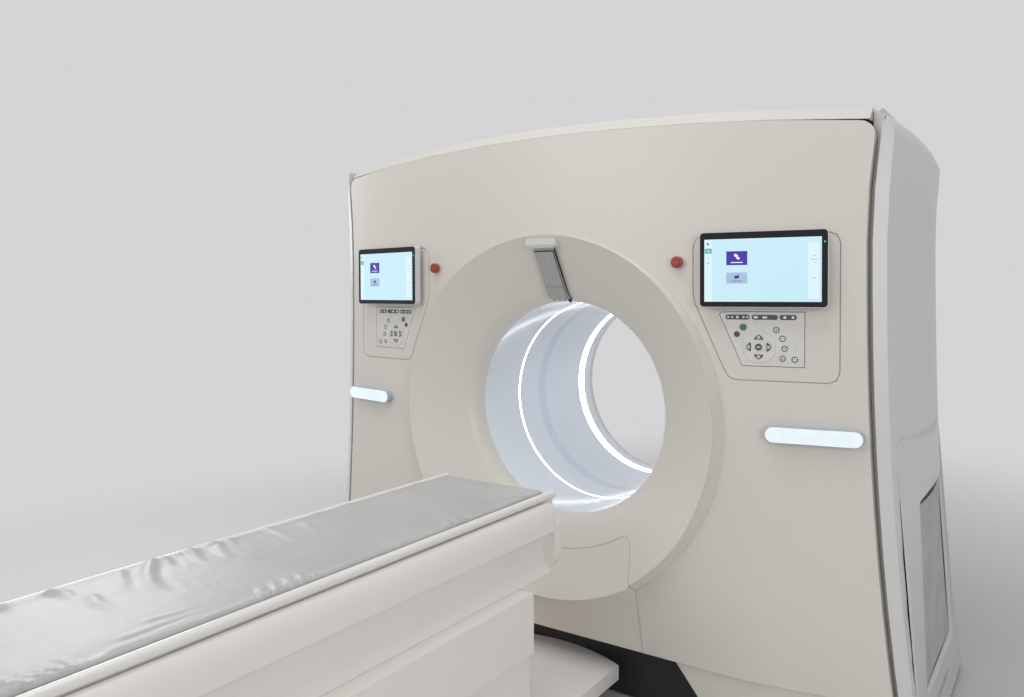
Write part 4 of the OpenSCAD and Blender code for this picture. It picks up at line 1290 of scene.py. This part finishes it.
        def corner(y: float, z: float) -> int:
            """Returns the point at a cell's rim, shared with its neighbours.

            Args:
                y: its depth.
                z: its height.

            Returns:
                Its number.
            """
            key = (round(y * 20), round(z * 20))
            if key not in known:
                known[key] = len(sheet.points)
                sheet.points.append(self.on_side(y, z, level))
            return known[key]

        rows = int((self.recess_height[1] - self.recess_height[0]) / step) + 1
        columns = int((self.recess_span[1] - self.recess_span[0]) / self.pitch) + 1
        for j in range(rows):
            z = self.recess_height[0] + j * step
            for i in range(columns):
                y = self.recess_span[0] + (i + 0.5 * (j % 2)) * self.pitch
                if not inside((y, z), bound, radius):
                    continue
                rim = []
                for k, angle in enumerate(angles):
                    reach = radius if k % 2 else radius * math.cos(math.pi / 6)
                    rim.append(corner(y + reach * math.cos(angle), z + reach * math.sin(angle)))
                start = len(sheet.points)
                for out in (level, level - self.sheet):
                    sheet.points += [self.on_side(*place, out)
                                     for place in arc((y, z), self.hole, angles)]
                for k in range(sides):
                    n = (k + 1) % sides
                    sheet.faces.append((rim[k], rim[n], start + n, start + k))
                    sheet.faces.append((start + k, start + n, start + sides + n,
                                        start + sides + k))
                    sheet.marks += [mark, mark]
        # Near-black sheet behind the holes: painted shade of the dark inside of the gantry
        shade_sheet_depths = np.linspace(self.recess_span[0] + 6, self.recess_span[1] - 6, 40)
        rows_of = [[self.on_side(float(y), float(z), level - self.sheet) for y in shade_sheet_depths]
                   for z in np.linspace(self.recess_height[0] + 6, self.recess_height[1] - 6, 8)]
        sheet.grid(rows_of, SHADE_BEHIND_MESH)
        sheet.make("gantry")


def inside(point: Flat, outline: Sequence[Flat], margin: float) -> bool:
    """Tells whether a point lies in a convex outline, inset by a margin.

    Args:
        point: the point.
        outline: the outline, anticlockwise.
        margin: how far inside it has to lie.

    Returns:
        Whether it does.
    """
    for (x0, y0), (x1, y1) in zip(outline, [*outline[1:], outline[0]]):
        length = math.hypot(x1 - x0, y1 - y0)
        cross = (x1 - x0) * (point[1] - y0) - (y1 - y0) * (point[0] - x0)
        if length > 1e-6 and cross / length < margin:
            return False
    return True


# Soft goods


def places_of(mesh: bpy.types.Mesh) -> np.ndarray:
    """Reads a mesh's points.

    Args:
        mesh: the mesh.

    Returns:
        Its points, one row each, in metres.
    """
    places = np.empty(len(mesh.vertices) * 3)
    mesh.vertices.foreach_get("co", places)
    return places.reshape(-1, 3)


def move_points(piece: bpy.types.Object, places: np.ndarray) -> None:
    """Gives a piece's mesh new places for its points."""
    piece.data.vertices.foreach_set("co", places.ravel())
    piece.data.update()


@dataclass(frozen=True)
class ClothRun:
    """A short cloth simulation whose result is written to the mesh."""

    frames: int = 20
    pressure: float = 0.0
    gravity: float = 0.0
    bending: float = 0.5
    cap: float = 0.005
    skin: float = 0.0015

    def settle(self, piece: bpy.types.Object, pinned: Sequence[int] = (),
               bed: bpy.types.Object | None = None) -> None:
        """Runs the cloth and caps how far each point may have moved.

        Args:
            piece: the piece, whose mesh is changed.
            pinned: numbers of the points that stay.
            bed: what the cloth lies on.
        """
        scene = bpy.context.scene
        start = places_of(piece.data)
        cloth = piece.modifiers.new("cloth", "CLOTH")
        settings = cloth.settings
        settings.quality = 5
        settings.bending_stiffness = self.bending
        settings.effector_weights.gravity = self.gravity
        settings.use_pressure = self.pressure > 0
        settings.uniform_pressure_force = self.pressure
        if pinned:
            piece.vertex_groups.new(name="pinned").add(list(pinned), 1.0, "REPLACE")
            settings.vertex_group_mass = "pinned"
        cloth.point_cache.frame_start, cloth.point_cache.frame_end = 1, self.frames
        cloth.collision_settings.use_collision = bed is not None
        cloth.collision_settings.distance_min = self.skin
        hard = None
        if bed is not None:
            hard = bed.modifiers.new("bed", "COLLISION")
            bed.collision.thickness_outer = self.skin
        for step in range(1, self.frames + 1):
            scene.frame_set(step)
        shown = piece.evaluated_get(bpy.context.evaluated_depsgraph_get())
        end = places_of(shown.to_mesh())
        shown.to_mesh_clear()
        piece.modifiers.remove(cloth)
        if hard is not None:
            bed.modifiers.remove(hard)
        piece.vertex_groups.clear()
        scene.frame_set(1)
        move = end - start
        length = np.linalg.norm(move, axis=1, keepdims=True)
        start += move * np.minimum(1.0, self.cap / np.maximum(length, 1e-9))
        move_points(piece, start)
        LOG.info("%s: settled over %d frames", piece.name, self.frames)


def applied(piece: bpy.types.Object, kind: str, **settings: float | int | str | bool) -> None:
    """Adds a modifier and writes its result to the piece's mesh.

    Args:
        piece: the piece.
        kind: Blender's name of the modifier.
        **settings: the modifier's settings.
    """
    modifier = piece.modifiers.new("step", kind)
    for key, value in settings.items():
        setattr(modifier, key, value)
    shown = piece.evaluated_get(bpy.context.evaluated_depsgraph_get())
    mesh = bpy.data.meshes.new_from_object(shown)
    piece.modifiers.remove(modifier)
    old, piece.data = piece.data, mesh
    bpy.data.meshes.remove(old)
    mesh.name = piece.name


@dataclass(frozen=True)
class Fold:
    """A raised fold along a line of points on the table, in drawing millimetres."""

    line: tuple[Flat, ...]
    height: float
    width: float

    def lift(self, x: np.ndarray, y: np.ndarray) -> np.ndarray:
        """Returns its height over each place: full at its first point, none at its last.

        Args:
            x: distance of each place from the centre line.
            y: its depth.

        Returns:
            How far the fold lifts the cloth there, in mm.
        """
        best = np.full(x.shape, 1e9)
        share = np.zeros(x.shape)
        count = len(self.line) - 1
        for k, ((x0, y0), (x1, y1)) in enumerate(zip(self.line, self.line[1:])):
            dx, dy = x1 - x0, y1 - y0
            along = np.clip(((x - x0) * dx + (y - y0) * dy) / (dx * dx + dy * dy), 0.0, 1.0)
            apart = np.hypot(x - x0 - along * dx, y - y0 - along * dy)
            nearer = apart < best
            best = np.where(nearer, apart, best)
            share = np.where(nearer, (k + along) / count, share)
        taper = np.clip(1.0 - share, 0.0, 1.0)
        taper = taper * taper * (3 - 2 * taper)
        spread = self.width * (0.75 + 0.7 * share)
        return self.height * taper * np.exp(-((best / spread) ** 2))


@dataclass
class SoftTable:
    """Foam pad in the cradle and the grey vinyl cover over it."""

    half_width: float = 200.8
    foot: float = -2832.6
    head: float = -307.4
    top: float = -189.4
    roll: float = 9.0
    hem: float = 21.0
    spacing: Flat = (8.0, 6.4)
    pad_half: float = 194.0
    pad_span: Flat = (-2822.0, -318.0)
    pad_top: float = -196.5
    shell_top: float = -254.0
    shell_arc: float = 620.0
    gathers: tuple[Flat, ...] = ((-2560.0, -2400.0), (-1905.0, -1745.0), (-1392.0, -1222.0),
                                 (-790.0, -690.0))

    def build(self) -> None:
        """Makes the pad, then the cover that lies on it."""
        pad = self._pad()
        self._cover(pad)

    def _bed(self, x: np.ndarray) -> np.ndarray:
        """Height of the cradle's inner face at a distance from the centre line."""
        return self.shell_top + self.shell_arc - np.sqrt(self.shell_arc ** 2 - x * x)

    def _pad(self) -> bpy.types.Object:
        """A crowned foam pad, swelled by a cloth run within its sleeve.

        Returns:
            The pad.
        """
        xs = np.linspace(-self.pad_half, self.pad_half, 17)
        under = [(float(x), float(z)) for x, z in zip(xs, self._bed(xs) + 3.5)]
        edge = 9.0
        upper = []
        for side, turn in ((1, range(7)), (-1, range(6, -1, -1))):
            for k in turn:
                angle = math.pi / 2 * k / 6
                upper.append((side * (self.pad_half - edge + edge * math.cos(angle)),
                              self.pad_top - edge + edge * math.sin(angle)))
        section = under + upper
        pad = Piece("foam_pad")
        ends = ((0.0, 0.955), (3.0, 0.985), (9.0, 1.0))
        stations = [(self.pad_span[0] + d, k) for d, k in ends]
        between = np.linspace(self.pad_span[0] + 60, self.pad_span[1] - 60, 24)
        stations += [(float(y), 1.0) for y in between]
        stations += [(self.pad_span[1] - d, k) for d, k in reversed(ends)]
        middle = -222.0
        rows = [[row(x * k, y, middle + (z - middle) * k) for x, z in section] for y, k in stations]
        pad.grid(rows, PAD_FOAM, closed=True)
        for start in (0, (len(rows) - 1) * len(section)):
            pad.faces.append(tuple(range(start, start + len(section))))
            pad.marks.append(0)
        made = pad.make("cradle", smooth=True)
        applied(made, "REMESH", mode="VOXEL", voxel_size=0.013, use_smooth_shade=True)
        ClothRun(frames=12, pressure=4.0, bending=2.0, cap=0.003).settle(made)
        self._keep_in_cradle(made)
        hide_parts("cradle_pad")
        return made

    def _keep_in_cradle(self, pad: bpy.types.Object) -> None:
        """Holds the pad's points between the cradle's face and the cover.

        Args:
            pad: the pad.
        """
        places = places_of(pad.data)
        x = np.clip(places[:, 0] / MM, -self.pad_half - 2, self.pad_half + 2)
        floor = (self._bed(x) + 0.8 + AXIS_HEIGHT) * MM
        ceiling = (self.top - 3.4 + AXIS_HEIGHT) * MM
        places[:, 2] = np.minimum(np.maximum(places[:, 2], floor), ceiling)
        move_points(pad, places)

    def _cover(self, pad: bpy.types.Object) -> None:
        """The loose cover: folds laid as the cloth was found, then settled on the pad.

        Args:
            pad: the pad that it lies on.
        """
        across = self.half_width - self.roll
        along = ((self.foot + self.roll), (self.head - self.roll))
        turn = math.pi / 2 * self.roll + self.hem - self.roll
        count = (round(2 * (across + turn) / self.spacing[0]),
                 round((along[1] - along[0] + 2 * turn) / self.spacing[1]))
        p, q = np.meshgrid(np.linspace(-across - turn, across + turn, count[0] + 1),
                           np.linspace(along[0] - turn, along[1] + turn, count[1] + 1))
        x, y = np.clip(p, -across, across), np.clip(q, *along)
        off = np.hypot(p - x, q - y)
        ex, ey = (p - x) / np.maximum(off, 1e-9), (q - y) / np.maximum(off, 1e-9)
        angle = np.minimum(off / self.roll, math.pi / 2)
        out = self.roll * np.sin(angle)
        drop = self.roll * (1 - np.cos(angle)) + np.maximum(off - math.pi / 2 * self.roll, 0.0)
        lift = self._folds(x, y)
        hold = np.clip(1 - drop / self.hem, 0.0, 1.0)
        side = np.sin(angle) * np.minimum(lift * 0.35, 2.2) * hold
        places = np.stack([x + ex * (out + side), y + ey * (out + side),
                           self.top - drop + lift * np.cos(angle) * hold], axis=-1)
        cover = Piece("vinyl_cover")
        cover.grid([[row(*point) for point in line] for line in places.tolist()], PAD_VINYL)
        made = cover.make("cradle", smooth=True)
        pinned = np.flatnonzero((drop > self.hem - 5.0).ravel()).tolist()
        ClothRun(frames=14, gravity=0.25, bending=20.0, cap=0.004).settle(made, pinned, pad)
        applied(made, "SUBSURF", levels=1, render_levels=1)
        self._ruffle(made)
        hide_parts("pad_cover")

    def _folds(self, x: np.ndarray, y: np.ndarray) -> np.ndarray:
        """Adds up the folds seen in the cloth and quieter ones of the same kind elsewhere.

        Args:
            x: distance of each place from the centre line.
            y: its depth.

        Returns:
            How far the cloth is lifted there.
        """
        seen = [
            Fold(((-215, -1228), (-173, -1233), (-76, -1277), (0, -1312)), 11.0, 17),
            Fold(((-213, -1288), (-134, -1316), (-55, -1350)), 11.0, 15),
            Fold(((-213, -1322), (-159, -1336), (-86, -1365)), 6.0, 11),
            Fold(((-204, -1361), (-138, -1382), (-60, -1416)), 9.0, 14),
            Fold(((-190, -1396), (-121, -1448), (-55, -1481), (12, -1493), (90, -1480)), 13.0, 20),
            Fold(((-183, -1480), (-95, -1526), (-4, -1550), (95, -1556)), 8.0, 24),
            Fold(((-200, -1628), (-162, -1612), (-85, -1621), (0, -1640)), 10.0, 17),
            Fold(((-90, -1590), (-45, -1602), (20, -1598), (98, -1612)), 8.0, 20),
            Fold(((-206, -1718), (-162, -1712), (-70, -1728)), 9.0, 16),
            Fold(((184, -1700), (178, -1600), (176, -1480), (196, -1330)), 5.0, 8),
            Fold(((150, -1660), (152, -1560), (158, -1440), (176, -1350)), 4.5, 9),
            Fold(((118, -1590), (130, -1520), (150, -1440)), 3.6, 9),
            Fold(((-150, -975), (-60, -1010), (30, -1075)), 5.0, 17),
        ]
        seeded = np.random.default_rng(7)
        places = [*np.arange(-2800.0, -1790.0, 78.0), *np.arange(-1165.0, -340.0, 96.0)]
        for number, start in enumerate(places):
            shift, sway, reach, height, width = seeded.uniform(
                (-26, -130, 0.35, 4.0, 13), (26, -30, 1.0, 10.0, 23))
            side = -1 if number % 3 else 1
            end = side * (200 - 330 * reach)
            middle = side * 200 + (end - side * 200) * 0.45
            calm = 0.6 if start > -1200 else 1.0
            seen.append(Fold(((side * 208, start + shift), (middle, start + shift + sway * 0.3),
                              (end, start + shift + sway)), height * calm, width))
        lift = np.zeros(x.shape)
        for fold in seen:
            room = 1 - np.clip(lift / 14, 0, 0.7)
            lift = lift + fold.lift(x, y) * room
        return lift + self._gather(x, y)

    def _gather(self, x: np.ndarray, y: np.ndarray) -> np.ndarray:
        """Broad bunches where the near edge is gathered.

        Args:
            x: distance of each place from the centre line.
            y: its depth.

        Returns:
            How far the cloth is lifted there.
        """
        lift = np.zeros(x.shape)
        for start, end in self.gathers:
            window = self._window(y, start, end, 30.0) * np.clip((x - 128) / 46, 0, 1)
            sway = 11 * np.sin(x / 17 + start)
            broad = 2.6 * np.sin((y + sway) / 5.6)
            lift += window * (3.4 + broad + 1.4 * np.sin((y - 2 * sway) / 3.7))
        return lift

    @staticmethod
    def _window(y: np.ndarray, start: float, end: float, soft: float) -> np.ndarray:
        """Rises to 1 between start and end with soft shoulders."""
        rise = np.clip((y - start) / soft, 0, 1) * np.clip((end - y) / soft, 0, 1)
        return rise * rise * (3 - 2 * rise)

    def _ruffle(self, cover: bpy.types.Object) -> None:
        """Small creases on the gathered stretches, finer than the cloth run's mesh.

        Args:
            cover: the cover.
        """
        places = places_of(cover.data)
        x, y = places[:, 0] / MM, places[:, 1] / MM + FRONT_DEPTH
        normals = np.empty(len(places) * 3)
        cover.data.vertices.foreach_get("normal", normals)
        amount = np.zeros(len(places))
        for start, end in self.gathers:
            window = self._window(y, start - 20, end + 20, 30.0) * np.clip((x - 140) / 40, 0, 1)
            sway = 6 * np.sin(x / 6.5 + start) + 5 * np.sin(y / 19)
            fine = 0.9 * np.sin((y + sway) / 2.5)
            amount += window * (fine + 0.6 * np.sin((y - 1.7 * sway) / 3.3 + x / 7))
        places += normals.reshape(-1, 3) * (amount * MM)[:, None]
        move_points(cover, places)


# Studio


@dataclass(frozen=True)
class Lamp:
    """A soft rectangular lamp."""

    name: str
    place: Point
    aim: Point
    size: Flat
    power: float

    def build(self) -> None:
        """Adds the lamp."""
        data = bpy.data.lights.new(self.name, "AREA")
        data.shape, data.energy = "RECTANGLE", self.power
        data.size, data.size_y = self.size
        lamp = bpy.data.objects.new(self.name, data)
        lamp.location = self.place
        lamp.rotation_mode = "QUATERNION"
        ahead = Vector(self.aim) - Vector(self.place)
        lamp.rotation_quaternion = ahead.to_track_quat("-Z", "Y")
        bpy.context.scene.collection.objects.link(lamp)


LAMPS = (
    Lamp("lamp_over", (0.2, -1.6, 4.4), (0.1, -0.8, 0.4), (3.0, 2.4), 60.0),
    Lamp("lamp_front", (-1.6, -5.2, 2.8), (0.1, 0.0, 0.7), (2.4, 1.8), 37.0),
    Lamp("lamp_left", (-3.4, -0.6, 2.3), (0.2, -1.6, 0.8), (1.5, 1.5), 26.0),
    Lamp("lamp_right", (3.8, -3.3, 1.9), (0.4, -1.6, 0.7), (1.6, 1.6), 36.0),
)


@dataclass
class Studio:
    """Pale floor, soft lamps and the camera at the photograph's angle."""

    place: Point = (1.57897, -3.0785, 1.46205)
    yaw: float = 0.608114
    pitch: float = -0.020473
    roll: float = -0.003967
    lens: float = 28.5008
    shift: float = -0.0406
    background: Colour = (0.66, 0.66, 0.67)
    floor: Colour = (0.72, 0.71, 0.70)
    fade: Flat = (1.5, 4.4)
    shadow_centre: Point = (0.0, -1.3, 0.0)
    shadow_scale: Point = (1.0, 0.62, 1.0)
    floor_half: float = 14.0
    ambient: Colour = (0.93, 0.96, 1.0)
    ambient_strength: float = 0.42
    sensor: float = 36.0

    def build(self) -> None:
        """Makes the camera, floor, world and lamps."""
        self._camera()
        self._floor()
        self._world()
        for lamp in LAMPS:
            lamp.build()
        bpy.context.scene.view_settings.view_transform = "Standard"

    def _camera(self) -> None:
        """Sets the camera from its place and angles."""
        data = bpy.data.cameras.new("camera")
        data.lens, data.sensor_width = self.lens, self.sensor
        data.shift_y = self.shift
        camera = bpy.data.objects.new("camera", data)
        bpy.context.scene.collection.objects.link(camera)
        ahead = Vector((-math.sin(self.yaw) * math.cos(self.pitch),
                        math.cos(self.yaw) * math.cos(self.pitch), math.sin(self.pitch)))
        right = Vector((math.cos(self.yaw), math.sin(self.yaw), 0.0))
        up = right.cross(ahead)
        across = math.cos(self.roll) * right + math.sin(self.roll) * up
        above = -math.sin(self.roll) * right + math.cos(self.roll) * up
        turn = Matrix((across, above, -ahead)).transposed()
        camera.matrix_world = Matrix.Translation(self.place) @ turn.to_4x4()
        bpy.context.scene.camera = camera

    def _floor(self) -> None:
        """A plain pale floor that runs up into a backdrop."""
        graph = Graph("studio_floor")
        cloud = graph.grain(0.6, 2.0)
        tone = graph.blend(cloud, tinted(self.floor, 0.97), self.floor)
        near = graph.node("ShaderNodeBsdfPrincipled", None, {"Base Color": tone, "Roughness": 0.8})
        far = graph.node("ShaderNodeEmission", None, {"Color": self.background})
        apart = graph.node("ShaderNodeVectorMath", {"operation": "SUBTRACT"},
                           {0: graph.place(), 1: self.shadow_centre})
        apart = graph.node("ShaderNodeVectorMath", {"operation": "MULTIPLY"},
                           {0: apart, 1: self.shadow_scale})
        reach = graph.node("ShaderNodeVectorMath", {"operation": "LENGTH"}, {0: apart}, "Value")
        seen = Signal(graph, self._in_view(graph.tree))
        mixed = graph.node("ShaderNodeMixShader", None,
                           {0: reach.step(*self.fade) * seen, 1: near, 2: far})
        out = graph.tree.nodes.new("ShaderNodeOutputMaterial")
        graph.tree.links.new(mixed.socket, out.inputs["Surface"])
        mesh = bpy.data.meshes.new("floor")
        half = self.floor_half
        corners = [(-half, -half, 0), (half, -half, 0), (half, half, 0), (-half, half, 0)]
        mesh.from_pydata(corners, [], [(0, 1, 2, 3)])
        mesh.materials.append(graph.material)
        floor = bpy.data.objects.new("floor", mesh)
        bpy.context.scene.collection.objects.link(floor)

    def _world(self) -> None:
        """Even ambient light, with the plain background behind."""
        world = bpy.data.worlds.new("studio")
        world.use_nodes = True
        nodes, links = world.node_tree.nodes, world.node_tree.links
        nodes.clear()
        seen = nodes.new("ShaderNodeBackground")
        seen.inputs["Color"].default_value = (*self.background, 1.0)
        ambient = nodes.new("ShaderNodeBackground")
        ambient.inputs["Color"].default_value = (*self.ambient, 1.0)
        ambient.inputs["Strength"].default_value = self.ambient_strength
        mixed = nodes.new("ShaderNodeMixShader")
        out = nodes.new("ShaderNodeOutputWorld")
        links.new(self._in_view(world.node_tree), mixed.inputs["Fac"])
        links.new(ambient.outputs[0], mixed.inputs[1])
        links.new(seen.outputs[0], mixed.inputs[2])
        links.new(mixed.outputs[0], out.inputs["Surface"])
        bpy.context.scene.world = world

    @staticmethod
    def _in_view(tree: bpy.types.NodeTree) -> bpy.types.NodeSocket:
        """Tells what is seen directly, in reflections or through glass from what only lights.

        Args:
            tree: the nodes of the floor or the world.

        Returns:
            A socket that is 1 for such rays and 0 for others.
        """
        path = tree.nodes.new("ShaderNodeLightPath")
        seen = path.outputs["Is Camera Ray"]
        for kind in ("Is Glossy Ray", "Is Transmission Ray"):
            added = tree.nodes.new("ShaderNodeMath")
            added.operation, added.use_clamp = "ADD", True
            tree.links.new(seen, added.inputs[0])
            tree.links.new(path.outputs[kind], added.inputs[1])
            seen = added.outputs[0]
        return seen


def main() -> None:
    """Builds the scene in order."""
    logging.basicConfig(level=logging.INFO, format="%(name)s: %(message)s")
    Studio().build()
    Solids().dress()
    for side in Side:
        OperatorPanel(side).build()
        ServicePanel(side).build()
    PatientDisplay().build()
    SoftTable().build()


if __name__ == "__main__":
    main()
